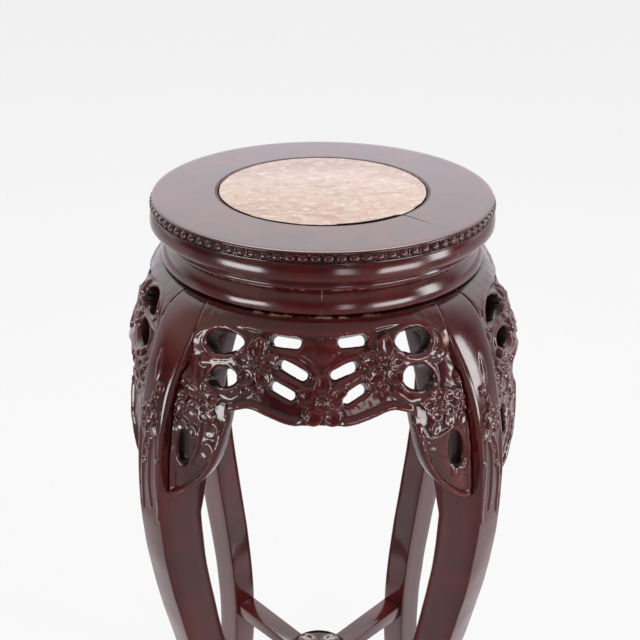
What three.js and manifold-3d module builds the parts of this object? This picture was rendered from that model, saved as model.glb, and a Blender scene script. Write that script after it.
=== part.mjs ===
import * as THREE from 'three';
import { mergeVertices } from 'three/addons/utils/BufferGeometryUtils.js';
import Module from 'manifold-3d';

// Round high table with a marble top, four cabriole legs and four pierced aprons.
// Millimetres, +Z up, floor at z = 0, axis of the table on the Z axis, front towards -Y.
// Every ring piece is drawn around its own +X axis and turned into its quarter of the circle.

const wasm = await Module();
wasm.setup();

// Overall sizes
const HEIGHT = 914;
const FIT = 0.3;
const BEYOND = 420;

// Steps that round faces and long curves are divided into
const ROUND_STEPS = 48;
const MARBLE_STEPS = 64;
const PIN_STEPS = 16;
const SCREW_STEPS = 12;
const ROSETTE_STEPS = 24;
const SHOULDER_STEPS = 9;
const SHOULDER_SPACING = 1.7;
const SHAFT_STEPS = 9;
const FOOT_STEPS = 3;
const BOARD_STEPS = 10;
const TOE_STEPS = 6;

// Marble and its seat
const MARBLE_RADIUS = 122.5;
const MARBLE_THICKNESS = 12;
const MARBLE_GAP = 2;
const MARBLE_ARRIS = 1;
const LEDGE_WIDTH = 14;
const LEDGE_THICKNESS = 18;

// Edge moulding of the top frame, from the flat down
const FLAT_RADIUS = 200;
const LIP_HEIGHT = 2.5;
const LIP_REACH = 1.5;
const BEAD_BAND_HEIGHT = 9;
const BEAD_BAND_FLARE = 2;
const COVE_HEIGHT = 3.5;
const OVOLO_SWELL = 5;
const OVOLO_REACH = 11;
const OVOLO_SHOULDER = 5.5;
const OVOLO_DROP = 15.5;
const NECK_HEIGHT = 11;
const NECK_SPLAY = 3.7;
const RAIL_OVERHANG = 30;

// Waist ring between the top frame and the body
const WAIST_SETBACK = 4;
const WAIST_HEIGHT = 29;
const WAIST_WALL = 17;
const WAIST_COLLAR = 3.5;
const WAIST_BEAD = 2;
const WAIST_GROOVE = 7.5;
const WAIST_SWELL = 6.2;
const TONGUE_HEIGHT = 5;
const TONGUE_WIDTH = 8;

// Legs
const BODY_RADIUS = 191;
const KNEE_RADIUS = 278;
const KNEE_DROP = 244;
const KNEE_FULLNESS = 2.2;
const KNEE_ROUNDNESS = 0.64;
const ANKLE_RADIUS = 215;
const ANKLE_RISE = 134;
const FOOT_FLARE = 14;
const LEG_WIDTH = 40;
const LEG_DEPTH = 60;
const ANKLE_DEPTH = 42;
const THIGH_DROP = 271;
const LEG_ARRIS = 4;
const SHOULDER_WIDTH = 56;
const SHOULDER_DROP = 32;
const POST_DEPTH = 24;
const POST_TENON = 20;
const POST_TENON_HEIGHT = 12;

// Claw-and-ball feet
const BALL_RADIUS = 25;
const BALL_FLAT = 2.5;
const TOE_RADIUS = 7;
const TOE_ANGLES = [-62, 0, 62, 180];
const TOE_PATH = [[0.3, 3], [0.75, 2.15], [1.08, 1.45], [1.06, 0.7], [0.9, 0]];
const FOOT_NECK_RISE = 36;

// Aprons
const APRON_WALL = 20;
const APRON_SETBACK = 12;
const APRON_FLATTENING = 8;
const APRON_FACE_RADIUS = 240;
const BAND_DROP = 19;
const FLAT_DROP = 24;
const SETBACK_DROP = 54;
const LOBE_GAP = 2;

// Lower edge of each half of an apron: flat centre, arch, cusp and the lobe that hangs beside the leg
const CENTRE_HALF = 32;
const CENTRE_DROP = 106;
const ARCH_ALONG = 78;
const ARCH_DROP = 93.5;
const CUSP_ALONG = 98;
const CUSP_DROP = 100;
const LOBE_SETBACK = 3;
const LOBE_DROP = 220;
const LOBE_MARGIN = 18.5;
const LOBE_SWEEP = [[0, 0.01], [0.04, 0.2], [0.13, 0.46], [0.33, 0.7], [0.62, 0.89], [1, 1]];

// Openings in an apron: place along the face and below its top, size, tilt in degrees
const OVAL_HOLES = [
  { along: -117, drop: 31, width: 50, height: 23, tilt: 9, sides: 10 },
  { along: -113, drop: 67, width: 33, height: 20, tilt: 9, sides: 10 },
  { along: -150, drop: 153, width: 20, height: 44, tilt: -4, sides: 8 },
  { along: 111, drop: 27.5, width: 46, height: 25, tilt: -7, sides: 10 },
  { along: 113, drop: 65.5, width: 38, height: 26, tilt: -12, sides: 10 },
  { along: 150, drop: 153, width: 20, height: 44, tilt: 4, sides: 8 },
];
const SLOT_HOLES = [
  { along: -42.7, drop: 22.7, length: 37.5, width: 11, tilt: -4 },
  { along: -32.8, drop: 51.5, length: 37, width: 10.5, tilt: -24 },
  { along: -43.8, drop: 72.3, length: 32, width: 10, tilt: -24 },
  { along: 38, drop: 21.3, length: 36, width: 11, tilt: 5 },
  { along: 27, drop: 51.3, length: 34, width: 10.5, tilt: 21 },
  { along: 38, drop: 74.3, length: 31, width: 10.5, tilt: 28 },
];
const HOLE_LEAN = 0.4;

// Joints hidden inside
const APRON_TENON = { thickness: 8, height: 26, reach: 9, drop: 49 };
const FRAME_TENON = { width: 26, height: 12, reach: 14, drop: 26 };
const BATTEN = { width: 44, thickness: 14, tenon: 8, reach: 10, shoulder: 4 };
const BLOCK = { width: 60, depth: 24, height: 50 };
const SCREW = { shank: 2.4, head: 4.6, headHeight: 3, sink: 8, bite: 18 };

// Cross stretcher near the ankles
const STRETCHER_RISE = 150;
const STRETCHER_WIDTH = 30;
const STRETCHER_HEIGHT = 24;
const STRETCHER_ARCH = 8;
const STRETCHER_TENON = { width: 14, height: 14, reach: 12 };
const ROSETTE_RADIUS = 52;
const ROSETTE_THICKNESS = 14;
const ROSETTE_PIN = 6;

// Heights that follow from the sizes above
const LEDGE_LEVEL = HEIGHT - MARBLE_THICKNESS;
const OVOLO_LEVEL = HEIGHT - LIP_HEIGHT - BEAD_BAND_HEIGHT - COVE_HEIGHT - OVOLO_SHOULDER;
const FRAME_UNDER = OVOLO_LEVEL - OVOLO_DROP - NECK_HEIGHT;
const BODY_TOP = FRAME_UNDER - WAIST_HEIGHT;
const KNEE_LEVEL = BODY_TOP - KNEE_DROP;
const BLOCK_UNDER = FRAME_UNDER - BLOCK.height;

// Radii that follow from the sizes above
const MARBLE_BORE = MARBLE_RADIUS + MARBLE_GAP;
const LEDGE_RADIUS = MARBLE_BORE - LEDGE_WIDTH;
const WAIST_RADIUS = BODY_RADIUS - WAIST_SETBACK;
const WAIST_INNER = WAIST_RADIUS - WAIST_WALL;
const RAIL_INNER = WAIST_INNER - RAIL_OVERHANG;
const TONGUE_INNER = WAIST_INNER + (WAIST_WALL - TONGUE_WIDTH) / 2;
const TONGUE_OUTER = TONGUE_INNER + TONGUE_WIDTH;
const WAIST_CLEAR = WAIST_INNER * Math.cos(Math.PI / ROUND_STEPS) - FIT;
const POST_OUTER = Math.sqrt(WAIST_CLEAR ** 2 - (LEG_WIDTH / 2) ** 2);
const POST_INNER = POST_OUTER - POST_DEPTH;
const BLOCK_OUTER = Math.sqrt(WAIST_CLEAR ** 2 - (BLOCK.width / 2) ** 2);
const BLOCK_MIDDLE = BLOCK_OUTER - BLOCK.depth / 2;

// Finishes
const lacquer = (tone) => new THREE.MeshStandardMaterial({ color: tone, roughness: 0.25, metalness: 0 });
const finish = {
  frame: lacquer(0x5a1a1c),
  waist: lacquer(0x521719),
  apron: lacquer(0x4e1618),
  leg: lacquer(0x48161a),
  stretcher: lacquer(0x44151a),
  marble: new THREE.MeshStandardMaterial({ color: 0xe2cfc4, roughness: 0.3, metalness: 0 }),
  rawWood: new THREE.MeshStandardMaterial({ color: 0x9a6a45, roughness: 0.8, metalness: 0 }),
  steel: new THREE.MeshStandardMaterial({ color: 0x8d8a86, roughness: 0.4, metalness: 1 }),
};

const radians = THREE.MathUtils.degToRad;
const mix = THREE.MathUtils.lerp;
const rise = (value, from, to) => THREE.MathUtils.smoothstep(value, from, to);
const points2 = (pairs) => pairs.map(([x, y]) => new THREE.Vector2(x, y));

// Solids from closed geometries, and back again
function solid(geometry) {
  const bare = geometry.clone();
  bare.deleteAttribute('normal');
  bare.deleteAttribute('uv');
  const merged = mergeVertices(bare, 1e-4);
  const vertProperties = new Float32Array(merged.attributes.position.array);
  const triVerts = new Uint32Array(merged.index.array);
  return new wasm.Manifold(new wasm.Mesh({ numProp: 3, vertProperties, triVerts }));
}

function geometryOf(body) {
  const mesh = body.getMesh();
  const geometry = new THREE.BufferGeometry();
  geometry.setAttribute('position', new THREE.BufferAttribute(mesh.vertProperties, 3));
  geometry.setIndex(new THREE.BufferAttribute(mesh.triVerts, 1));
  geometry.computeVertexNormals();
  return geometry;
}

// A box between two corners
function block([x0, y0, z0], [x1, y1, z1]) {
  const box = new THREE.BoxGeometry(x1 - x0, y1 - y0, z1 - z0);
  box.translate((x0 + x1) / 2, (y0 + y1) / 2, (z0 + z1) / 2);
  return box;
}

// A profile of radius and height pairs turned round the Z axis
function turned(profile, steps = ROUND_STEPS) {
  return new THREE.LatheGeometry(points2(profile), steps).rotateX(Math.PI / 2);
}

// A round pin along Z
function pin(radius, z0, z1, x = 0) {
  const cylinder = new THREE.CylinderGeometry(radius, radius, z1 - z0, PIN_STEPS);
  return cylinder.rotateX(Math.PI / 2).translate(x, 0, (z0 + z1) / 2);
}

// Moves every vertex of a geometry to where the function sends it
function reshaped(geometry, place) {
  const position = geometry.attributes.position;
  const vertex = new THREE.Vector3();
  for (let i = 0; i < position.count; i += 1) {
    vertex.fromBufferAttribute(position, i);
    position.setXYZ(i, ...place(vertex.x, vertex.y, vertex.z));
  }
  return geometry;
}

// Points along part of an ellipse, angles in degrees from +X towards -Y
function arcPoints(centreX, centreY, radiusX, radiusY, from, to, steps) {
  return Array.from({ length: steps + 1 }, (_, i) => {
    const angle = radians(mix(from, to, i / steps));
    return [centreX + radiusX * Math.cos(angle), centreY - radiusY * Math.sin(angle)];
  });
}

// The quarter of the circle around +X, half a fit short of both diagonals
function quarterWedge() {
  const apex = FIT / 2 / Math.SQRT1_2;
  const outline = points2([[apex, 0], [apex + BEYOND, -BEYOND], [apex + BEYOND, BEYOND]]);
  const depth = HEIGHT + BEYOND;
  return solid(new THREE.ExtrudeGeometry(new THREE.Shape(outline), { depth, bevelEnabled: false }));
}

// Outer face of a leg: radius at a height, from the shoulder over the knee to the foot
function faceRadius(z) {
  if (z >= KNEE_LEVEL) {
    const u = Math.min((BODY_TOP - z) / KNEE_DROP, 1);
    const swell = (1 - (1 - u) ** KNEE_FULLNESS) ** KNEE_ROUNDNESS;
    return mix(BODY_RADIUS, KNEE_RADIUS, swell);
  }
  if (z >= ANKLE_RISE) {
    const v = (KNEE_LEVEL - z) / (KNEE_LEVEL - ANKLE_RISE);
    return mix(ANKLE_RADIUS, KNEE_RADIUS, (1 + Math.cos(Math.PI * v)) / 2);
  }
  return ANKLE_RADIUS + FOOT_FLARE * ((ANKLE_RISE - z) / ANKLE_RISE) ** 2;
}

// Thickness of a leg, which grows from the ankle to the knee
function shinDepth(z) {
  return mix(ANKLE_DEPTH, LEG_DEPTH, Math.min(Math.max((z - ANKLE_RISE) / (KNEE_LEVEL - ANKLE_RISE), 0), 1));
}

// The same over its whole height: above the thigh level the back runs straight up to the post's
function legDepth(z) {
  const thigh = BODY_TOP - THIGH_DROP;
  if (z <= thigh) {
    return shinDepth(z);
  }
  const share = Math.min((z - thigh) / THIGH_DROP, 1);
  return faceRadius(z) - mix(faceRadius(thigh) - shinDepth(thigh), POST_INNER, share);
}

// Half the width of a leg, which swells to a shoulder just under the waist
function legHalfWidth(z) {
  const u = Math.max(BODY_TOP - z, 0) / SHOULDER_DROP;
  return LEG_WIDTH / 2 + ((SHOULDER_WIDTH - LEG_WIDTH) / 2) * u * Math.exp(1 - u);
}

// Outer face of an apron: set back from the legs, and flatter at its middle
function apronRadius(z, angle) {
  const drop = BODY_TOP - z;
  const setback = APRON_SETBACK * rise(drop, BAND_DROP, SETBACK_DROP);
  const flattening = APRON_FLATTENING * rise(drop, 0, FLAT_DROP) * Math.cos(2 * angle) ** 2;
  return faceRadius(z) - setback - flattening;
}

// Marble disc, dropped into the frame from above
function marbleTop() {
  return turned([
    [0, LEDGE_LEVEL],
    [MARBLE_RADIUS, LEDGE_LEVEL],
    [MARBLE_RADIUS, HEIGHT - MARBLE_ARRIS],
    [MARBLE_RADIUS - MARBLE_ARRIS, HEIGHT],
    [0, HEIGHT],
  ], MARBLE_STEPS);
}

// Closed section of the top frame, with the ledge for the marble and a groove for the waist
function frameSection() {
  const bandTop = HEIGHT - LIP_HEIGHT;
  const bandFoot = bandTop - BEAD_BAND_HEIGHT;
  const bandRadius = FLAT_RADIUS + LIP_REACH;
  const ovoloCentre = FLAT_RADIUS + OVOLO_SWELL - OVOLO_REACH;
  return [
    [RAIL_INNER, FRAME_UNDER],
    [TONGUE_INNER - FIT, FRAME_UNDER],
    [TONGUE_INNER - FIT, FRAME_UNDER + TONGUE_HEIGHT],
    [TONGUE_OUTER + FIT, FRAME_UNDER + TONGUE_HEIGHT],
    [TONGUE_OUTER + FIT, FRAME_UNDER],
    [WAIST_RADIUS + WAIST_COLLAR, FRAME_UNDER],
    [WAIST_RADIUS + WAIST_COLLAR, OVOLO_LEVEL - OVOLO_DROP - NECK_SPLAY],
    ...arcPoints(ovoloCentre, OVOLO_LEVEL, OVOLO_REACH, OVOLO_DROP, 90, -20, 4),
    [bandRadius + BEAD_BAND_FLARE / 4, bandFoot - COVE_HEIGHT / 2],
    [bandRadius + BEAD_BAND_FLARE, bandFoot],
    [bandRadius, bandTop],
    [FLAT_RADIUS, HEIGHT],
    [MARBLE_BORE, HEIGHT],
    [MARBLE_BORE, LEDGE_LEVEL],
    [LEDGE_RADIUS, LEDGE_LEVEL],
    [LEDGE_RADIUS, LEDGE_LEVEL - LEDGE_THICKNESS],
    [RAIL_INNER, LEDGE_LEVEL - LEDGE_THICKNESS],
    [RAIL_INNER, FRAME_UNDER],
  ];
}

// Tenon that locks one frame segment into the next, on the diagonal at 45 degrees
function frameTenon(clearance) {
  const { width, height, reach, drop } = FRAME_TENON;
  const middle = (RAIL_INNER + FLAT_RADIUS) / 2;
  const level = HEIGHT - drop;
  const tenon = block(
    [middle - width / 2 - clearance, -reach - clearance, level - height / 2 - clearance],
    [middle + width / 2 + clearance, reach + clearance, level + height / 2 + clearance],
  );
  return solid(tenon.rotateZ(Math.PI / 4));
}

// Top tenon of a leg post, in the leg's own frame around +X
function postTenon(clearance) {
  const middle = POST_OUTER - POST_DEPTH / 2;
  const half = POST_TENON / 2 + clearance;
  return block(
    [middle - half, -half, FRAME_UNDER - clearance],
    [middle + half, half, FRAME_UNDER + POST_TENON_HEIGHT + clearance],
  );
}

// One quarter of the top frame: tenon at one end, mortise at the other, pocket for the batten
function frameSegment(holdsBatten) {
  let segment = solid(turned(frameSection())).intersect(quarterWedge());
  segment = segment.add(frameTenon(0));
  segment = segment.subtract(solid(geometryOf(frameTenon(FIT)).rotateZ(-Math.PI / 2)));
  for (const side of [-1, 1]) {
    segment = segment.subtract(solid(postTenon(FIT).rotateZ((side * Math.PI) / 4)));
  }
  const pilotTip = FRAME_UNDER + SCREW.bite + FIT;
  segment = segment.subtract(solid(pin(SCREW.shank + FIT, FRAME_UNDER - 1, pilotTip, BLOCK_MIDDLE)));
  if (holdsBatten) {
    segment = segment.subtract(solid(battenTenon(FIT)));
  }
  return geometryOf(segment);
}

// Batten under the marble, tenoned into the left and right frame segments
function battenTenon(clearance) {
  const half = BATTEN.width / 2 - BATTEN.shoulder + clearance;
  const level = LEDGE_LEVEL - BATTEN.thickness / 2;
  return block(
    [LEDGE_RADIUS - BATTEN.reach, -half, level - BATTEN.tenon / 2 - clearance],
    [LEDGE_RADIUS + BATTEN.reach + clearance, half, level + BATTEN.tenon / 2 + clearance],
  );
}

function marbleBatten() {
  const half = BATTEN.width / 2;
  const length = Math.sqrt(LEDGE_RADIUS ** 2 - half ** 2) - FIT;
  let batten = solid(block(
    [-length, -half, LEDGE_LEVEL - BATTEN.thickness],
    [length, half, LEDGE_LEVEL],
  ));
  batten = batten.add(solid(battenTenon(0)));
  batten = batten.add(solid(battenTenon(0).rotateZ(Math.PI)));
  return geometryOf(batten);
}

// Closed section of the waist, with the tongue that enters the frame
function waistSection() {
  const collar = WAIST_RADIUS + WAIST_COLLAR;
  const torusTop = FRAME_UNDER - WAIST_GROOVE - WAIST_BEAD;
  const torusMiddle = (torusTop + BODY_TOP) / 2;
  const torusHalf = (torusTop - BODY_TOP) / 2 / Math.sin(radians(60));
  return [
    [WAIST_INNER, BODY_TOP],
    ...arcPoints(WAIST_RADIUS, torusMiddle, WAIST_SWELL, torusHalf, 60, -60, 5),
    [WAIST_RADIUS, FRAME_UNDER - WAIST_GROOVE],
    [WAIST_RADIUS, FRAME_UNDER - WAIST_BEAD * 2],
    [collar, FRAME_UNDER - WAIST_BEAD],
    [collar, FRAME_UNDER],
    [TONGUE_OUTER, FRAME_UNDER],
    [TONGUE_OUTER, FRAME_UNDER + TONGUE_HEIGHT - FIT],
    [TONGUE_INNER, FRAME_UNDER + TONGUE_HEIGHT - FIT],
    [TONGUE_INNER, FRAME_UNDER],
    [WAIST_INNER, FRAME_UNDER],
    [WAIST_INNER, BODY_TOP],
  ];
}

function waistSegment() {
  return geometryOf(solid(turned(waistSection())).intersect(quarterWedge()));
}

// Heights shared by leg and apron between the top of the body and the knee, closest at the shoulder
function shoulderLevel(i) {
  return BODY_TOP - KNEE_DROP * (i / SHOULDER_STEPS) ** SHOULDER_SPACING;
}

// Leg shaft: a plank whose face, depth and width follow the cabriole curve
function legShaft() {
  const lowerSteps = FOOT_STEPS + SHAFT_STEPS;
  const steps = lowerSteps + SHOULDER_STEPS;
  const level = (i) => {
    if (i <= FOOT_STEPS) {
      return mix(FOOT_NECK_RISE, ANKLE_RISE, i / FOOT_STEPS);
    }
    if (i <= lowerSteps) {
      return mix(ANKLE_RISE, KNEE_LEVEL, (i - FOOT_STEPS) / SHAFT_STEPS);
    }
    return shoulderLevel(steps - i);
  };
  return reshaped(new THREE.BoxGeometry(1, 4, steps, 1, 4, steps), (x, y, z) => {
    const height = level(Math.round(z + steps / 2));
    const across = Math.sign(y) * [0, 0.78, 1][Math.round(Math.abs(y))];
    const crown = LEG_ARRIS * [0, 0.25, 1][Math.round(Math.abs(y))];
    const face = faceRadius(height);
    const radius = x > 0 ? face - crown : face - legDepth(height);
    return [radius, across * legHalfWidth(height), height];
  });
}

// Post that rises from the shoulder, behind the waist, to the underside of the frame
function legPost() {
  return block(
    [POST_INNER, -LEG_WIDTH / 2, BODY_TOP - SHOULDER_DROP],
    [POST_OUTER, LEG_WIDTH / 2, FRAME_UNDER],
  );
}

// Ball under the foot, with a small flat where it stands
function footBall() {
  const ball = new THREE.SphereGeometry(BALL_RADIUS, 14, 8).rotateX(Math.PI / 2);
  return ball.translate(footMiddle(), 0, BALL_RADIUS - BALL_FLAT);
}

function footMiddle() {
  return faceRadius(FOOT_NECK_RISE) - legDepth(FOOT_NECK_RISE) / 2;
}

// One toe of the claw, bent over the ball down to the floor, five-sided in section
function toe(angle) {
  const spread = BALL_RADIUS + TOE_RADIUS / 3;
  const path = new THREE.CatmullRomCurve3(TOE_PATH.map(
    ([out, up]) => new THREE.Vector3(spread * out, 0, BALL_RADIUS * up),
  ));
  const section = new THREE.Shape(points2(arcPoints(0, 0, TOE_RADIUS, TOE_RADIUS, 0, 288, 4)));
  const tube = new THREE.ExtrudeGeometry(section, { steps: TOE_STEPS, extrudePath: path });
  return tube.rotateZ(radians(angle)).translate(footMiddle(), 0, 0);
}

// Tongue at an apron's end and its mortise in the leg, in the leg's frame, on the side given
function apronTenon(side, clearance) {
  const { thickness, height, reach, drop } = APRON_TENON;
  const level = BODY_TOP - drop;
  const halfWidth = legHalfWidth(level);
  const angle = Math.PI / 4 - Math.asin(halfWidth / faceRadius(level));
  const middle = (apronRadius(level, angle) - APRON_WALL / 2) * Math.cos(Math.PI / 4 - angle);
  const near = side * (halfWidth - reach - clearance);
  const far = side * (halfWidth + reach);
  return block(
    [middle - thickness / 2 - clearance, Math.min(near, far), level - height / 2 - clearance],
    [middle + thickness / 2 + clearance, Math.max(near, far), level + height / 2 + clearance],
  );
}

// Tenon at the end of a stretcher rail and its mortise in the leg
function stretcherTenon(clearance) {
  const { width, height, reach } = STRETCHER_TENON;
  const inner = faceRadius(STRETCHER_RISE) - legDepth(STRETCHER_RISE);
  return block(
    [inner - reach * 2, -width / 2 - clearance, STRETCHER_RISE - height / 2 - clearance],
    [inner + reach + clearance, width / 2 + clearance, STRETCHER_RISE + height / 2 + clearance],
  );
}

function leg() {
  let body = solid(legShaft()).add(solid(legPost())).add(solid(postTenon(0)));
  body = body.add(solid(footBall()));
  for (const angle of TOE_ANGLES) {
    body = body.add(solid(toe(angle)));
  }
  body = body.subtract(solid(block([0, -BEYOND, -BEYOND], [BEYOND, BEYOND, 0])));
  for (const side of [-1, 1]) {
    body = body.subtract(solid(apronTenon(side, FIT)));
  }
  return geometryOf(body.subtract(solid(stretcherTenon(FIT))));
}

// Half the width of an apron along its face, up to the middle of the leg
function apronSide() {
  return (Math.PI / 4) * APRON_FACE_RADIUS;
}

function apronEdge() {
  const edge = new THREE.SplineCurve(points2([
    [0, -CENTRE_DROP],
    [CENTRE_HALF, -CENTRE_DROP],
    [(CENTRE_HALF + ARCH_ALONG) / 2, -(CENTRE_DROP + ARCH_DROP) / 2],
    [ARCH_ALONG, -ARCH_DROP],
    [CUSP_ALONG, -CUSP_DROP],
  ]));
  const start = CUSP_ALONG + LOBE_SETBACK;
  const tip = apronSide() - LOBE_MARGIN;
  const lobe = new THREE.SplineCurve(points2(LOBE_SWEEP.map(
    ([across, down]) => [mix(start, tip, across), -mix(CUSP_DROP, LOBE_DROP, down)],
  )));
  return [...edge.getPoints(7), ...lobe.getPoints(6)];
}

// Openings sawn through an apron
function ovalHole({ along, drop, width, height, tilt, sides }) {
  const round = [width / 2, height / 2, 0, 2 * Math.PI, false];
  return new THREE.EllipseCurve(along, -drop, ...round, radians(tilt)).getPoints(sides).slice(1);
}

function slotHole({ along, drop, length, width, tilt }) {
  const half = (length - width) / 2;
  const outline = points2([
    ...arcPoints(half, 0, width / 2, width / 2, 90, -90, 3),
    ...arcPoints(-half, 0, width / 2, width / 2, 270, 90, 3),
  ]);
  const middle = new THREE.Vector2();
  return outline.map((p) => p.rotateAround(middle, radians(tilt)).add(new THREE.Vector2(along, -drop)));
}

// Plug that cuts one opening, leaning down towards the inside with the slope of the face
function holePlug(outline, { along, drop }) {
  const face = apronRadius(BODY_TOP - drop, along / APRON_FACE_RADIUS);
  const shape = new THREE.Shape(outline);
  const prism = new THREE.ExtrudeGeometry(shape, { depth: 1, steps: 1, bevelEnabled: false });
  return reshaped(prism, (x, y, z) => {
    const angle = x / APRON_FACE_RADIUS;
    const radius = face + (z > 0.5 ? 1 : -1) * APRON_WALL * 2;
    return [radius * Math.cos(angle), radius * Math.sin(angle), BODY_TOP + y + (radius - face) * HOLE_LEAN];
  });
}

function apronHoles() {
  return [
    ...OVAL_HOLES.map((hole) => holePlug(ovalHole(hole), hole)),
    ...SLOT_HOLES.map((hole) => holePlug(slotHole(hole), hole)),
  ];
}

// Prism of the sawn outline, spread out radially from the table's axis
function apronOutline() {
  const half = apronEdge();
  const side = apronSide();
  const mirrored = half.slice(1).reverse().map((p) => new THREE.Vector2(-p.x, p.y));
  const shape = new THREE.Shape([
    new THREE.Vector2(side, APRON_WALL),
    new THREE.Vector2(-side, APRON_WALL),
    new THREE.Vector2(-side, -LOBE_DROP),
    ...mirrored,
    ...half,
    new THREE.Vector2(side, -LOBE_DROP),
  ]);
  const stations = [BODY_RADIUS / 2, BODY_RADIUS - APRON_WALL * 1.5, KNEE_RADIUS, BEYOND];
  const depth = stations.length - 1;
  const prism = new THREE.ExtrudeGeometry(shape, { depth, steps: depth, bevelEnabled: false });
  return reshaped(prism, (x, y, z) => {
    const angle = x / APRON_FACE_RADIUS;
    const radius = stations[Math.round(z)];
    return [radius * Math.cos(angle), radius * Math.sin(angle), BODY_TOP + y];
  });
}

// Bowed board that the apron is sawn from
function apronBoard() {
  const spread = radians(50);
  const steps = SHOULDER_STEPS;
  return reshaped(new THREE.BoxGeometry(1, 1, steps, 1, BOARD_STEPS, steps), (x, y, z) => {
    const height = shoulderLevel(Math.round(steps / 2 - z));
    const angle = 2 * y * spread;
    const radius = apronRadius(height, angle) - (x > 0 ? 0 : APRON_WALL);
    return [radius * Math.cos(angle), radius * Math.sin(angle), height];
  });
}

// Space that a leg takes out of its neighbours, wider beside the hanging lobes
function legSpace() {
  const steps = SHOULDER_STEPS;
  return reshaped(new THREE.BoxGeometry(1, 2, steps, 1, 1, steps), (x, y, z) => {
    const height = shoulderLevel(Math.round(steps / 2 - z));
    const gap = mix(FIT, LOBE_GAP, rise(BODY_TOP - height, SETBACK_DROP, SETBACK_DROP * 1.3));
    const top = height === BODY_TOP ? FIT : 0;
    return [x > 0 ? BEYOND : BODY_RADIUS / 2, y * (legHalfWidth(height) + gap), height + top];
  });
}

function apron() {
  let board = solid(apronBoard()).intersect(solid(apronOutline()));
  for (const plug of apronHoles()) {
    board = board.subtract(solid(plug));
  }
  for (const side of [-1, 1]) {
    board = board.subtract(solid(legSpace().rotateZ((side * Math.PI) / 4)));
    board = board.add(solid(apronTenon(-side, 0).rotateZ((side * Math.PI) / 4)));
  }
  return geometryOf(board);
}

// Glue block in the corner of frame, waist and apron, with its screw into the frame
function glueBlock() {
  const half = BLOCK.width / 2;
  let body = solid(block([BLOCK_OUTER - BLOCK.depth, -half, BLOCK_UNDER], [BLOCK_OUTER, half, FRAME_UNDER]));
  body = body.subtract(solid(pin(SCREW.shank + FIT, BLOCK_UNDER - 1, FRAME_UNDER + 1, BLOCK_MIDDLE)));
  body = body.subtract(solid(pin(SCREW.head + 1, BLOCK_UNDER - 1, BLOCK_UNDER + SCREW.sink, BLOCK_MIDDLE)));
  return geometryOf(body);
}

function blockScrew() {
  const headTop = BLOCK_UNDER + SCREW.sink - FIT;
  const tip = FRAME_UNDER + SCREW.bite;
  return turned([
    [0, headTop - SCREW.headHeight],
    [SCREW.head, headTop - SCREW.headHeight],
    [SCREW.head, headTop],
    [SCREW.shank, headTop],
    [SCREW.shank, tip - SCREW.shank * 2],
    [0, tip],
  ], SCREW_STEPS).translate(BLOCK_MIDDLE, 0, 0);
}

// Stretcher rail from leg to leg, halved at the middle where it crosses the other one
function stretcherRail(isUpper) {
  const reach = faceRadius(STRETCHER_RISE) - legDepth(STRETCHER_RISE) - FIT;
  const end = STRETCHER_HEIGHT / 2;
  const arch = new THREE.SplineCurve(points2([[-reach, -end], [0, -end + STRETCHER_ARCH], [reach, -end]]));
  const outline = new THREE.Shape([...arch.getPoints(12), ...points2([[reach, end], [-reach, end]])]);
  const side = new THREE.ExtrudeGeometry(outline, { depth: STRETCHER_WIDTH, bevelEnabled: false });
  side.translate(0, 0, -STRETCHER_WIDTH / 2).rotateX(Math.PI / 2).translate(0, 0, STRETCHER_RISE);
  let rail = solid(side).add(solid(stretcherTenon(0))).add(solid(stretcherTenon(0).rotateZ(Math.PI)));
  const half = STRETCHER_WIDTH / 2 + FIT;
  const lap = STRETCHER_RISE + STRETCHER_ARCH / 2;
  const notch = isUpper
    ? block([-half, -half - 1, STRETCHER_RISE - BEYOND], [half, half + 1, lap + FIT / 2])
    : block([-half, -half - 1, lap - FIT / 2], [half, half + 1, STRETCHER_RISE + BEYOND]);
  rail = rail.subtract(solid(notch));
  rail = rail.subtract(solid(pin(ROSETTE_PIN + FIT, STRETCHER_RISE - BEYOND, STRETCHER_RISE + BEYOND)));
  return geometryOf(rail);
}

// Round rosette pegged into the crossing of the rails
function stretcherRosette() {
  const seat = STRETCHER_RISE + STRETCHER_HEIGHT / 2;
  const pinFoot = STRETCHER_RISE - STRETCHER_HEIGHT / 2 + STRETCHER_ARCH + FIT;
  const crown = new THREE.SplineCurve(points2([
    [ROSETTE_RADIUS, seat + ROSETTE_THICKNESS * 0.35],
    [ROSETTE_RADIUS * 0.8, seat + ROSETTE_THICKNESS * 0.75],
    [ROSETTE_RADIUS * 0.4, seat + ROSETTE_THICKNESS * 0.7],
    [0, seat + ROSETTE_THICKNESS],
  ])).getPoints(6).map((p) => [p.x, p.y]);
  crown[crown.length - 1][0] = 0;
  return turned([
    [0, pinFoot],
    [ROSETTE_PIN, pinFoot],
    [ROSETTE_PIN, seat],
    [ROSETTE_RADIUS * 0.9, seat],
    ...crown,
  ], ROSETTE_STEPS);
}

// Assembly
const table = new THREE.Group();

function place(name, geometry, material, turn = 0) {
  const mesh = new THREE.Mesh(geometry, material);
  mesh.name = name;
  mesh.rotation.z = radians(turn);
  table.add(mesh);
}

const SIDES = { front: -90, right: 0, back: 90, left: 180 };
const CORNERS = { front_right: -45, back_right: 45, back_left: 135, front_left: -135 };

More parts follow.
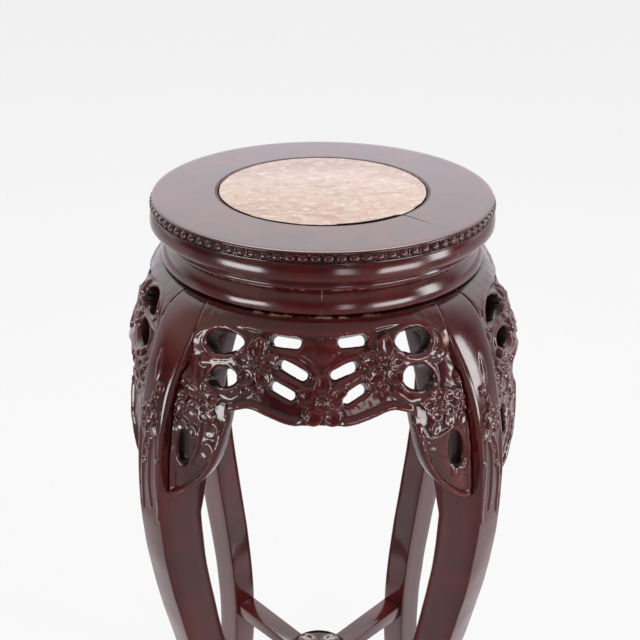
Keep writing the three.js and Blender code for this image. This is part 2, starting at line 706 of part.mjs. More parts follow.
place('marble_top', marbleTop(), finish.marble);
place('marble_batten', marbleBatten(), finish.rawWood);
for (const [side, turn] of Object.entries(SIDES)) {
  const holdsBatten = side === 'left' || side === 'right';
  place(`top_frame_${side}`, frameSegment(holdsBatten), finish.frame, turn);
  place(`apron_${side}`, apron(), finish.apron, turn);
  place(`glue_block_${side}`, glueBlock(), finish.rawWood, turn);
  place(`block_screw_${side}`, blockScrew(), finish.steel, turn);
}
for (const [corner, turn] of Object.entries(CORNERS)) {
  place(`waist_${corner}`, waistSegment(), finish.waist, turn);
  place(`leg_${corner}`, leg(), finish.leg, turn);
}
place('stretcher_rail_lower', stretcherRail(false), finish.stretcher, -45);
place('stretcher_rail_upper', stretcherRail(true), finish.stretcher, 45);
place('stretcher_rosette', stretcherRosette(), finish.stretcher);

export default table;
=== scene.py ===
"""Looks of a round marble-top high table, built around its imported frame.

Sizes are in millimetres and drops are measured down from the top face. Every finished mesh is scaled
to metres.
"""

import logging
import math
from dataclasses import dataclass, replace
from enum import Enum
from typing import ClassVar, Iterable, Sequence

import bmesh
import bpy
import numpy as np
from mathutils import Matrix, Vector, geometry, kdtree


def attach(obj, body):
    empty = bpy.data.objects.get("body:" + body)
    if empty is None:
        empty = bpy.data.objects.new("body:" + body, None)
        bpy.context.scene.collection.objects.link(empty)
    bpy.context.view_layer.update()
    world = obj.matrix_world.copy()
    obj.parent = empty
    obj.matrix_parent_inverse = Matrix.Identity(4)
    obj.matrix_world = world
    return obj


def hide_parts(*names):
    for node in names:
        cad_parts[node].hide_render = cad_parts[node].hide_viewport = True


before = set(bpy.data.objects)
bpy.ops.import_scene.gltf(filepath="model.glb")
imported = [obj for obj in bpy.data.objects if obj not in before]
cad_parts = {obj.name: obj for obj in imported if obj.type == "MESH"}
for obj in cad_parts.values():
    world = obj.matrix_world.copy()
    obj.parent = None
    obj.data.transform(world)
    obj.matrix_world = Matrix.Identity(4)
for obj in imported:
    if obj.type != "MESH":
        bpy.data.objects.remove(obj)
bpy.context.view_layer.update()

LOG = logging.getLogger("table")
MM = 0.001
WELD = 1e-4
Array = np.ndarray
Mesh = bmesh.types.BMesh
Socket = bpy.types.NodeSocket
Colour = tuple[float, float, float, float]
Pair = tuple[float, float]
Points = list[Pair]


class Side(Enum):
    """A quarter of the table, by the turn in degrees from +X."""

    FRONT = -90
    RIGHT = 0
    BACK = 90
    LEFT = 180


class Corner(Enum):
    """A diagonal of the table, by the turn in degrees from +X."""

    FRONT_RIGHT = -45
    BACK_RIGHT = 45
    BACK_LEFT = 135
    FRONT_LEFT = -135


def mix(a: Array | float, b: Array | float, share: Array | float) -> Array | float:
    """Returns the value that lies the given share of the way from a to b."""
    return a + (b - a) * share


def ease(value: Array | float, low: float, high: float) -> Array:
    """Returns 0 below low and 1 above high, with a smooth step between."""
    share = np.clip((np.asarray(value, float) - low) / (high - low), 0.0, 1.0)
    return share * share * (3.0 - 2.0 * share)


def between(value: Array, start: float, full: float, last: float, end: float) -> Array:
    """Returns 1 from full to last, easing to 0 at start and at end."""
    return ease(value, start, full) * (1 - ease(value, last, end))


def bell(value: Array | float, middle: float, width: float) -> Array:
    """Returns 1 at the middle, falling off to both sides over about the width."""
    return np.exp(-(((value - middle) / width) ** 2))


def dome(distance: Array | float, radius: float) -> Array:
    """Returns the height of a half circle of radius 1 over a flat, 0 outside the radius."""
    return np.sqrt(np.clip(1.0 - (np.asarray(distance) / radius) ** 2, 0.0, 1.0))


def rounding(distance: Array, radius: float) -> Array:
    """Returns how far an edge rounded to the radius falls away, at distances from it."""
    near = np.clip(radius - distance, 0, radius)
    return radius - np.sqrt(radius**2 - near**2)


def smooth_curve(points: Sequence[Pair], spacing: float) -> Array:
    """Samples a smooth curve through the points at an even spacing.

    Args:
        points: Places that the curve passes.
        spacing: Distance between samples.

    Returns:
        The samples, one row each, with both ends kept.
    """
    rows = np.array(points, float)
    padded = np.vstack([2 * rows[0] - rows[1], rows, 2 * rows[-1] - rows[-2]])
    t = np.linspace(0, 1, 16, endpoint=False)[:, None]
    spans = [
        0.5 * (2 * b + (c - a) * t + (2 * a - 5 * b + 4 * c - d) * t**2 + (3 * b - a - 3 * c + d) * t**3)
        for a, b, c, d in zip(padded, padded[1:], padded[2:], padded[3:])
    ]
    return resampled(np.vstack([*spans, rows[-1:]]), spacing)


def resampled(rows: Array, spacing: float) -> Array:
    """Returns points along a polyline at about the given spacing, with both ends kept."""
    reach = np.concatenate([[0.0], np.cumsum(np.hypot(*np.diff(rows, axis=0).T))])
    count = max(int(round(reach[-1] / spacing)), 1)
    wanted = np.linspace(0.0, reach[-1], count + 1)
    return np.column_stack([np.interp(wanted, reach, rows[:, i]) for i in range(2)])


@dataclass(frozen=True)
class Wobble:
    """Slow unevenness of hand work, as a sum of waves that the seed fixes."""

    seed: int
    length: float
    waves: int = 7

    def __call__(self, x: Array, y: Array) -> Array:
        """Returns values from about -1 to 1 at the points."""
        draw = np.random.default_rng(self.seed)
        total = np.zeros_like(np.asarray(x, float))
        for _ in range(self.waves):
            angle, phase = draw.uniform(0, 2 * math.pi, 2)
            rate = 2 * math.pi / (self.length * draw.uniform(0.7, 1.6))
            total += np.sin((x * math.cos(angle) + y * math.sin(angle)) * rate + phase)
        return total / (self.waves / 2)


@dataclass(frozen=True)
class Body:
    """Heights, radii and curves that the pieces share."""

    height: float = 914.0
    flat_radius: float = 200.0
    neck_radius: float = 190.5
    frame_drop: float = 47.0
    groove_drop: float = 42.0
    groove_inner: float = 174.2
    groove_outer: float = 182.8
    body_drop: float = 76.0
    body_radius: float = 191.0
    knee_radius: float = 278.0
    knee_fall: float = 244.0
    thigh_drop: float = 347.0
    post_radius: float = 144.15
    ankle_radius: float = 215.0
    ankle_rise: float = 134.0
    ankle_depth: float = 42.0
    knee_depth: float = 60.0
    foot_flare: float = 14.0
    plank_half: float = 20.0
    shoulder: float = 8.0
    shoulder_fall: float = 32.0
    apron_setback: float = 12.0
    apron_flat: float = 8.0
    wrap_radius: float = 240.0
    fit: float = 0.3
    open_fit: float = 2.0

    @property
    def knee_level(self) -> float:
        """Height of the knee's widest place above the floor."""
        return self.height - self.body_drop - self.knee_fall

    def face_radius(self, drop: Array) -> Array:
        """Returns the radius of a leg's outer face at the drops."""
        drop = np.asarray(drop, float)
        z = self.height - drop
        u = np.clip((drop - self.body_drop) / self.knee_fall, 0.0, 1.0)
        thigh = mix(self.body_radius, self.knee_radius, (1 - (1 - u) ** 2.2) ** 0.64)
        v = np.clip((self.knee_level - z) / (self.knee_level - self.ankle_rise), 0.0, 1.0)
        shin = mix(self.ankle_radius, self.knee_radius, (1 + np.cos(math.pi * v)) / 2)
        below = np.clip(self.ankle_rise - z, 0, None) / self.ankle_rise
        foot = self.ankle_radius + self.foot_flare * below**2
        return np.where(z >= self.knee_level, thigh, np.where(z >= self.ankle_rise, shin, foot))

    def leg_depth(self, drop: Array) -> Array:
        """Returns the radial thickness of a leg at the drops, whose back runs straight above the knee."""
        drop = np.asarray(drop, float)

        def shin(level: Array | float) -> Array:
            """Returns the thickness below the knee."""
            rise = (self.height - level - self.ankle_rise) / (self.knee_level - self.ankle_rise)
            return mix(self.ankle_depth, self.knee_depth, np.clip(rise, 0.0, 1.0))

        thigh_back = self.face_radius(self.thigh_drop) - shin(self.thigh_drop)
        share = np.clip((self.thigh_drop - drop) / (self.thigh_drop - self.body_drop), 0.0, 1.0)
        thigh = self.face_radius(drop) - mix(thigh_back, self.post_radius, share)
        return np.where(drop > self.thigh_drop, shin(drop), thigh)

    def leg_half_width(self, drop: Array) -> Array:
        """Returns half the width of a leg at the drops, with its shoulder."""
        u = np.clip(np.asarray(drop, float) - self.body_drop, 0.0, None) / self.shoulder_fall
        return self.plank_half + self.shoulder * u * np.exp(1 - u)

    def apron_radius(self, drop: Array, angle: Array) -> Array:
        """Returns the radius of an apron's face at the drops and angles from its middle."""
        down = np.asarray(drop, float) - self.body_drop
        flat = self.apron_flat * ease(down, 0, 24) * np.cos(2 * angle) ** 2
        return self.face_radius(drop) - self.apron_setback * ease(down, 19, 54) - flat

    def seam_along(self, drop: Array, inset: float = 0.0) -> Array:
        """Returns how far along an apron's face its seam with the leg lies, at the drops.

        Args:
            drop: Drops below the top face.
            inset: Depth below the apron's face.

        Returns:
            Lengths on the cylinder that the apron's drawing is wrapped round.
        """
        gap = mix(self.fit, self.open_fit, ease(np.asarray(drop, float) - self.body_drop, 54, 70))
        half = self.leg_half_width(drop) + gap
        radius = self.apron_radius(drop, math.pi / 4 - 0.1) - inset
        return self.wrap_radius * (math.pi / 4 - np.arcsin(half / radius))


BODY = Body()


# Shader nodes


class Shader:
    """A material's node tree, with short calls for the nodes that the finishes use."""

    def __init__(self, name: str, tree: bpy.types.NodeTree | None = None) -> None:
        """Makes a material with only its output node, or works on the tree given."""
        self.material = None
        if tree is None:
            self.material = bpy.data.materials.new(name)
            self.material.use_nodes = True
            tree = self.material.node_tree
        self.tree = tree
        self.tree.nodes.clear()

    def node(self, kind: str, **settings: object) -> bpy.types.Node:
        """Adds a node of the kind, with its properties set."""
        made = self.tree.nodes.new("ShaderNode" + kind)
        for name, value in settings.items():
            setattr(made, name, value)
        return made

    def feed(self, socket: Socket, value: object) -> None:
        """Links an output to the socket, or sets the socket's own value."""
        if isinstance(value, Socket):
            self.tree.links.new(value, socket)
        elif value is not None:
            socket.default_value = value

    def made(self, kind: str, *values: object, **settings: object) -> Socket:
        """Adds a node, feeds its first inputs in order and returns its first output."""
        node = self.node(kind, **settings)
        for socket, value in zip(node.inputs, values):
            self.feed(socket, value)
        return node.outputs[0]

    def math(self, operation: str, a: object, b: object = None, c: object = None) -> Socket:
        """Returns the result of a Math node."""
        return self.made("Math", a, b, c, operation=operation)

    def away(self, value: Socket, level: object) -> Socket:
        """Returns how far the value is from the level."""
        return self.math("ABSOLUTE", self.math("SUBTRACT", value, level))

    def blend(self, share: object, a: object, b: object) -> Socket:
        """Returns a colour between a and b."""
        node = self.node("Mix", data_type="RGBA", clamp_factor=True)
        for index, value in ((0, share), (6, a), (7, b)):
            self.feed(node.inputs[index], value)
        return node.outputs[2]

    def step(self, value: object, low: float, high: float, start: float = 0.0, end: float = 1.0) -> Socket:
        """Returns the value taken smoothly from one range to another, and held at its ends."""
        return self.made("MapRange", value, low, high, start, end, interpolation_type="SMOOTHSTEP")

    def noise(
        self, where: object, scale: object, detail: float, rough: float = 0.5, bend: float = 0.0
    ) -> Socket:
        """Returns a noise value read at the place given."""
        node = self.node("TexNoise")
        values = {"Vector": where, "Scale": scale, "Detail": detail, "Roughness": rough, "Distortion": bend}
        for name, value in values.items():
            self.feed(node.inputs[name], value)
        return node.outputs[0]

    def place(self, scale: Sequence[float] = (1, 1, 1), turn: float = 0.0) -> Socket:
        """Returns the object's own coordinates, scaled and turned about Z."""
        mapping = self.node("Mapping")
        mapping.inputs["Rotation"].default_value = (0, 0, math.radians(turn))
        mapping.inputs["Scale"].default_value = scale
        self.feed(mapping.inputs["Vector"], self.node("TexCoord").outputs["Object"])
        return mapping.outputs[0]

    def axes(self, where: Socket) -> Sequence[Socket]:
        """Returns the three parts of a place."""
        split = self.node("SeparateXYZ")
        self.feed(split.inputs[0], where)
        return split.outputs

    def bump(self, height: Socket, strength: float, distance: float) -> Socket:
        """Returns the normal of a surface with the heights given."""
        node = self.node("Bump")
        for name, value in {"Height": height, "Strength": strength, "Distance": distance}.items():
            self.feed(node.inputs[name], value)
        return node.outputs[0]

    def group(self, tree: bpy.types.NodeTree, **values: object) -> bpy.types.Node:
        """Adds a shared effect with its inputs set."""
        node = self.node("Group", node_tree=tree)
        for name, value in values.items():
            self.feed(node.inputs[name], value)
        return node

    def attribute(self, name: str) -> Socket:
        """Returns a value that the mesh carries at its vertices."""
        return self.node("Attribute", attribute_name=name).outputs["Fac"]

    def finish(self, **values: object) -> bpy.types.Material:
        """Ends the tree in a Principled BSDF with the values given, and returns the material."""
        surface = self.node("BsdfPrincipled")
        for name, value in values.items():
            self.feed(surface.inputs[name.replace("_", " ")], value)
        self.feed(self.node("OutputMaterial").inputs["Surface"], surface.outputs[0])
        return self.material


class Effect:
    """A node group that several finishes share."""

    def __init__(self, name: str, values: Iterable[str], gives: Iterable[str]) -> None:
        """Starts the group, which takes a place and the values named, and gives the values named."""
        self.tree = bpy.data.node_groups.new(name, "ShaderNodeTree")
        self.shader = Shader(name, self.tree)
        sockets = [("Vector", "INPUT", "NodeSocketVector")]
        sockets += [(label, "INPUT", "NodeSocketFloat") for label in values]
        sockets += [(label, "OUTPUT", "NodeSocketFloat") for label in gives]
        for label, way, kind in sockets:
            self.tree.interface.new_socket(name=label, in_out=way, socket_type=kind)
        self.takes = self.tree.nodes.new("NodeGroupInput").outputs
        self.ends = self.tree.nodes.new("NodeGroupOutput").inputs

    def give(self, **values: Socket) -> bpy.types.NodeTree:
        """Links the outputs and returns the group."""
        for name, value in values.items():
            self.shader.feed(self.ends[name], value)
        return self.tree


class Effects:
    """The effects that more than one finish uses, each built once."""

    def __init__(self) -> None:
        """Builds every shared effect."""
        self.grain = self._grain()
        self.flecks = self._flecks()
        self.film = self._film()

    @staticmethod
    def _grain() -> bpy.types.NodeTree:
        """Wood figure: long streaks of tone and short open pores."""
        made = Effect("wood_grain", ["Scale"], ["Tone", "Pores"])
        shader, where, scale = made.shader, made.takes["Vector"], made.takes["Scale"]
        streaks = shader.noise(where, scale, 5.0, 0.6, 0.4)
        fine = shader.noise(where, shader.math("MULTIPLY", scale, 6.0), 2.0, 0.7)
        return made.give(Tone=shader.step(streaks, 0.3, 0.72), Pores=shader.step(fine, 0.62, 0.75))

    @staticmethod
    def _flecks() -> bpy.types.NodeTree:
        """Chips and rubbed spots close to an edge or a joint."""
        made = Effect("edge_flecks", ["Near", "Amount", "Scale"], ["Mask"])
        shader, where, scale = made.shader, made.takes["Vector"], made.takes["Scale"]
        broad = shader.noise(where, scale, 3.0, 0.6)
        ragged = shader.noise(where, shader.math("MULTIPLY", scale, 7.0), 3.0, 0.7)
        rough = shader.math("ADD", broad, shader.math("MULTIPLY", ragged, 0.5))
        limit = shader.math("SUBTRACT", 1.15, made.takes["Amount"])
        chosen = shader.step(shader.math("SUBTRACT", rough, limit), 0.0, 0.05)
        return made.give(Mask=shader.math("MULTIPLY", chosen, made.takes["Near"]))

    @staticmethod
    def _film() -> bpy.types.NodeTree:
        """Uneven gloss and faint waves of a brushed lacquer."""
        made = Effect("lacquer_film", [], ["Gloss", "Waves"])
        shader, where = made.shader, made.takes["Vector"]
        smears = shader.noise(where, 22.0, 4.0, 0.55, 0.6)
        dust = shader.noise(where, 900.0, 2.0)
        waves = shader.noise(where, 75.0, 2.0, 0.45)
        uneven = shader.math("ADD", waves, shader.math("MULTIPLY", dust, 0.06))
        return made.give(Gloss=shader.step(smears, 0.35, 0.7), Waves=uneven)


class Joint(Enum):
    """Which joints of a turned ring show flecks, beside the level joints."""

    NONE = 0
    DIAGONAL = 1
    SQUARE = 2


@dataclass(frozen=True)
class Lacquer:
    """Dark red lacquer over hardwood, with painted shade and dark patina in the carving, and rubbed at its
    edges.
    """

    name: str
    deep: Colour = (0.043, 0.0056, 0.0060, 1)
    red: Colour = (0.135, 0.0115, 0.0118, 1)
    # Colour of painted shade in hollows, openings and hidden sides, and of dark patina in the hollows.
    shade: Colour = (0.013, 0.0036, 0.0036, 1)
    rubbed: Colour = (0.16, 0.026, 0.022, 1)
    # Bare wood at the chips, made paler than the wood itself as a painted highlight on chips that catch the
    # light.
    bare_and_lit: Colour = (0.88, 0.58, 0.42, 1)
    stain: Colour = (0.080, 0.034, 0.027, 1)
    levels: tuple[float, ...] = ()
    joint: Joint = Joint.NONE
    chips: float = 0.34
    roughness: float = 0.15
    coat_roughness: float = 0.115
    waves: float = 0.30

    def material(self, effects: Effects) -> bpy.types.Material:
        """Builds the material.

        Args:
            effects: The shared effects.

        Returns:
            A material that reads the values the mesh carries: painted shade (in hollows, openings and hidden
            sides, with dark patina in the hollows), rub, seam, worn and stain.
        """
        shader = Shader(self.name)
        where = shader.place()
        crevice = shader.attribute("crevice")
        grain = shader.group(effects.grain, Vector=shader.place((40, 40, 5)), Scale=0.8)
        film = shader.group(effects.film, Vector=where)
        smoke = shader.step(shader.noise(where, 9.0, 3.0, 0.6), 0.35, 0.65, 0.0, 0.55)
        base = shader.blend(
            shader.math("MULTIPLY_ADD", grain.outputs["Tone"], 0.45, smoke), self.deep, self.red
        )
        edge = shader.attribute("rub")
        rub = shader.group(effects.flecks, Vector=where, Near=edge, Amount=0.55, Scale=60.0).outputs[0]
        amount = shader.math("MULTIPLY_ADD", shader.attribute("worn"), 0.20, self.chips)
        near = self._near(shader, where)
        chip = shader.group(effects.flecks, Vector=where, Near=near, Amount=amount, Scale=90.0).outputs[0]
        smudge = shader.step(shader.noise(where, 150.0, 3.0, 0.6), 0.3, 0.5, 0.55, 1.0)
        stain = shader.math("MULTIPLY", shader.attribute("stain"), smudge)
        # Painted shade: hollows, openings and hidden sides are darkened to the shade colour, with dark patina
        # in the hollows.
        coats = ((rub, self.rubbed), (crevice, self.shade), (chip, self.bare_and_lit), (stain, self.stain))
        for share, colour in coats:
            base = shader.blend(share, base, colour)
        rough = shader.math("MULTIPLY_ADD", film.outputs["Gloss"], 0.10, self.roughness)
        for share, added in ((stain, 0.4), (crevice, 0.22), (chip, 0.5)):
            rough = shader.math("MULTIPLY_ADD", share, added, rough)
        height = shader.math("MULTIPLY_ADD", grain.outputs["Pores"], -0.12, film.outputs["Waves"])
        height = shader.math("MULTIPLY_ADD", chip, -0.8, height)
        coat = shader.math("SUBTRACT", 1.0, shader.math("MULTIPLY", crevice, 0.7))
        for share in (chip, stain):
            coat = shader.math("MULTIPLY", coat, shader.math("SUBTRACT", 1.0, share))
        return shader.finish(
            Base_Color=base,
            Roughness=rough,
            Normal=shader.bump(height, self.waves, 0.4 * MM),
            IOR=1.5,
            Coat_Weight=coat,
            Coat_Roughness=self.coat_roughness,
            Coat_IOR=1.5,
        )

    def _near(self, shader: Shader, where: Socket) -> Socket:
        """Returns 1 on a joint and 0 away from it."""
        near = shader.attribute("seam")
        x, y, z = shader.axes(where)
        for level in self.levels:
            line = shader.step(shader.away(z, level * MM), 0.15 * MM, 0.6 * MM, 1.0, 0.0)
            near = shader.math("MAXIMUM", near, line)
        if self.joint is not Joint.NONE:
            ax, ay = shader.math("ABSOLUTE", x), shader.math("ABSOLUTE", y)
            diagonal = self.joint is Joint.DIAGONAL
            away = shader.away(ax, ay) if diagonal else shader.math("MINIMUM", ax, ay)
            below = shader.step(z, 908 * MM, 912 * MM, 1.0, 0.0)
            line = shader.math("MULTIPLY", shader.step(away, 0.25 * MM, 0.7 * MM, 1.0, 0.0), below)
            near = shader.math("MAXIMUM", near, line)
        return near


@dataclass(frozen=True)
class Marble:
    """Polished marble, cream patches between rose and grey streaks."""

    name: str
    cream: Colour = (0.67, 0.490, 0.395, 1)
    rose: Colour = (0.52, 0.295, 0.250, 1)
    pale: Colour = (0.76, 0.66, 0.56, 1)
    grey: Colour = (0.31, 0.235, 0.225, 1)
    # Colour of the disc's side below its top arris.
    dirt: Colour = (0.030, 0.014, 0.012, 1)

    def material(self, effects: Effects) -> bpy.types.Material:
        """Builds the material, whose streaks run mostly from left to right."""
        shader = Shader(self.name)
        where = shader.place((14, 27, 14), 10)
        drift = shader.noise(where, 1.1, 3.0, 0.55, 0.8)
        patches = shader.noise(where, 1.7, 7.0, 0.60, 1.1)
        fine = shader.noise(where, 5.0, 7.0, 0.64, 0.8)
        grit = shader.noise(shader.place(), 420.0, 3.0, 0.6)
        rose_line = shader.step(shader.away(fine, 0.47), 0.0, 0.05, 0.65, 0.0)
        grey_line = shader.step(shader.away(patches, 0.46), 0.0, 0.02, 0.8, 0.0)
        chip = shader.math("MULTIPLY", shader.attribute("rub"), shader.step(grit, 0.35, 0.6))
        base = shader.blend(shader.step(patches, 0.30, 0.58), self.rose, self.cream)
        for share, colour in (
            (shader.step(fine, 0.50, 0.66), self.pale),
            (rose_line, self.rose),
            (shader.math("MULTIPLY", grey_line, shader.step(drift, 0.45, 0.6)), self.grey),
            (shader.step(grit, 0.60, 0.72, 0.0, 0.25), self.grey),
            (chip, self.pale),
            (shader.attribute("dirt"), self.dirt),
        ):
            base = shader.blend(share, base, colour)
        normal = shader.bump(shader.math("ADD", fine, chip), 0.2, 0.2 * MM)
        rough = shader.math("MULTIPLY_ADD", fine, 0.16, 0.14)
        return shader.finish(Base_Color=base, Roughness=rough, Normal=normal, IOR=1.5)


@dataclass(frozen=True)
class RawWood:
    """Sawn wood without a finish, on the pieces that are out of sight."""

    name: str
    pale: Colour = (0.42, 0.25, 0.13, 1)
    dark: Colour = (0.20, 0.10, 0.05, 1)

    def material(self, effects: Effects) -> bpy.types.Material:
        """Builds the material, with grain along the piece."""
        shader = Shader(self.name)
        grain = shader.group(effects.grain, Vector=shader.place((8, 90, 90)), Scale=1.0)
        tone = grain.outputs["Tone"]
        base = shader.blend(tone, self.pale, self.dark)
        rough = shader.math("MULTIPLY_ADD", grain.outputs["Pores"], 0.2, 0.68)
        return shader.finish(Base_Color=base, Roughness=rough, Normal=shader.bump(tone, 1.0, 0.3 * MM))


@dataclass(frozen=True)
class Steel:
    """Dull screw steel with a little tarnish."""

    name: str
    clean: Colour = (0.46, 0.44, 0.42, 1)
    tarnish: Colour = (0.20, 0.16, 0.13, 1)

    def material(self, effects: Effects) -> bpy.types.Material:
        """Builds the material."""
        shader = Shader(self.name)
        film = shader.group(effects.film, Vector=shader.place((4, 4, 4))).outputs["Gloss"]
        rough = shader.math("MULTIPLY_ADD", film, 0.25, 0.35)
        base = shader.blend(film, self.clean, self.tarnish)
        return shader.finish(Base_Color=base, Roughness=rough, Metallic=1.0)


# Mesh work


def turned_to(angle: float) -> Matrix:
    """Returns a turn about Z, in degrees."""
    return Matrix.Rotation(math.radians(angle), 4, "Z")


def linked(name: str, data: bpy.types.ID) -> bpy.types.Object:
    """Returns a new object of the scene that shows the data."""
    made = bpy.data.objects.new(name, data)
    bpy.context.scene.collection.objects.link(made)
    return made


def joined(meshes: Sequence[Mesh]) -> Mesh:
    """Returns one bmesh that holds them all, and frees them."""
    whole = bmesh.new()
    for part in meshes:
        data = bpy.data.meshes.new("part")
        part.to_mesh(data)
        part.free()
        whole.from_mesh(data)
        bpy.data.meshes.remove(data)
    return whole


def store(bm: Mesh, **values: Array) -> None:
    """Stores one value per vertex under each name, for the materials to read."""
    for name, numbers in values.items():
        layer = bm.verts.layers.float.get(name) or bm.verts.layers.float.new(name)
        for vert, number in zip(bm.verts, numbers):
            vert[layer] = float(number)


def stored(bm: Mesh, name: str) -> Array:
    """Returns the value that each vertex has under the name."""
    layer = bm.verts.layers.float[name]
    return np.array([vert[layer] for vert in bm.verts])


def rows_of(bm: Mesh) -> Array:
    """Returns the place of every vertex, one row each."""
    return np.array([vert.co[:] for vert in bm.verts], float)


def move_rows(bm: Mesh, rows: Array) -> None:
    """Moves every vertex to its row."""
    for vert, row in zip(bm.verts, rows):
        vert.co = row


def polar(rows: Array) -> tuple[Array, Array, Array]:
    """Returns the radius, the angle in degrees and the drop of every row."""
    angle = np.degrees(np.arctan2(rows[:, 1], rows[:, 0]))
    return np.hypot(rows[:, 0], rows[:, 1]), angle, BODY.height - rows[:, 2]


def fill_holes(bm: Mesh) -> None:
    """Closes every open rim with one face."""
    bmesh.ops.holes_fill(bm, edges=[edge for edge in bm.edges if edge.is_boundary], sides=0)


def bevel(bm: Mesh, edges: list[bmesh.types.BMEdge], width: float, **settings: object) -> None:
    """Rounds the edges in three steps."""
    bmesh.ops.bevel(
        bm, geom=edges, offset=width, offset_type="OFFSET", segments=3, profile=0.5, affect="EDGES",
        material=-1, **settings,
    )


def softened(bm: Mesh, height: Array, rounds: int) -> Array:
    """Returns the heights averaged over their neighbours a number of rounds."""
    bm.verts.index_update()
    pairs = np.array([[vert.index for vert in edge.verts] for edge in bm.edges])
    count = np.bincount(pairs.ravel(), minlength=len(height)) + 1.0
    for _ in range(rounds):
        total = height.copy()
        total += np.bincount(pairs[:, 0], height[pairs[:, 1]], len(height))
        total += np.bincount(pairs[:, 1], height[pairs[:, 0]], len(height))
        height = total / count
    return height


@dataclass
class Piece:
    """One finished piece of the table, the node that it stands for and its slot."""

    name: str
    node: str
    slot: str
    finish: bpy.types.Material
    sharp: float = 40.0

    def make(self, bm: Mesh, turn: float = 0.0) -> bpy.types.Object:
        """Turns a bmesh in millimetres into the piece, in metres and in its place.

        Args:
            bm: The closed mesh, which is freed.
            turn: Degrees about Z.

        Returns:
            The object, which rides on the body.
        """
        bmesh.ops.transform(bm, matrix=turned_to(turn) @ Matrix.Scale(MM, 4), verts=bm.verts)
        bmesh.ops.recalc_face_normals(bm, faces=bm.faces)
        limit = math.radians(self.sharp)
        for face in bm.faces:
            face.smooth = True
        for edge in bm.edges:
            if len(edge.link_faces) == 2:
                edge.smooth = edge.calc_face_angle(0.0) < limit
        data = bpy.data.meshes.new(self.name)
        bm.to_mesh(data)
        bm.free()
        data.materials.append(self.finish)
        made = linked(self.name, data)
        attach(made, "root")
        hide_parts(self.node)
        LOG.info("%s: %d faces", self.name, len(data.polygons))
        return made


def spin(bm: Mesh, geom: list, angle: float, steps: int) -> None:
    """Spins the geometry about Z by degrees, joined at the end of a full turn."""
    bmesh.ops.spin(
        bm, geom=geom, cent=(0, 0, 0), axis=(0, 0, 1), angle=math.radians(angle), steps=steps,
        use_merge=angle >= 360, use_duplicate=False,
    )
    bmesh.ops.remove_doubles(bm, verts=bm.verts, dist=WELD)


def spun(profile: Points, angle: float, steps: int) -> Mesh:
    """Returns a closed section of radii and drops, spun about Z by degrees that centre on +X."""
    bm = bmesh.new()
    verts = [bm.verts.new((radius, 0.0, BODY.height - drop)) for radius, drop in profile]
    face = bm.faces.new(verts)
    start = Matrix.Rotation(math.radians(-angle / 2), 3, "Z")
    bmesh.ops.rotate(bm, cent=(0, 0, 0), matrix=start, verts=verts)
    spin(bm, [face, *face.edges, *face.verts], angle, steps)
    return bm


def arc(centre: Pair, half: Pair, turn: Pair, steps: int) -> Points:
    """Returns points of part of an ellipse.

    Args:
        centre: Its radius and drop.
        half: Its half width and half height.
        turn: First and last angle, in degrees from outwards towards down.
        steps: Spans between the points.

    Returns:
        Radii and drops.
    """
    angles = np.radians(np.linspace(*turn, steps + 1))
    return [(centre[0] + half[0] * math.cos(a), centre[1] + half[1] * math.sin(a)) for a in angles]


# Top frame


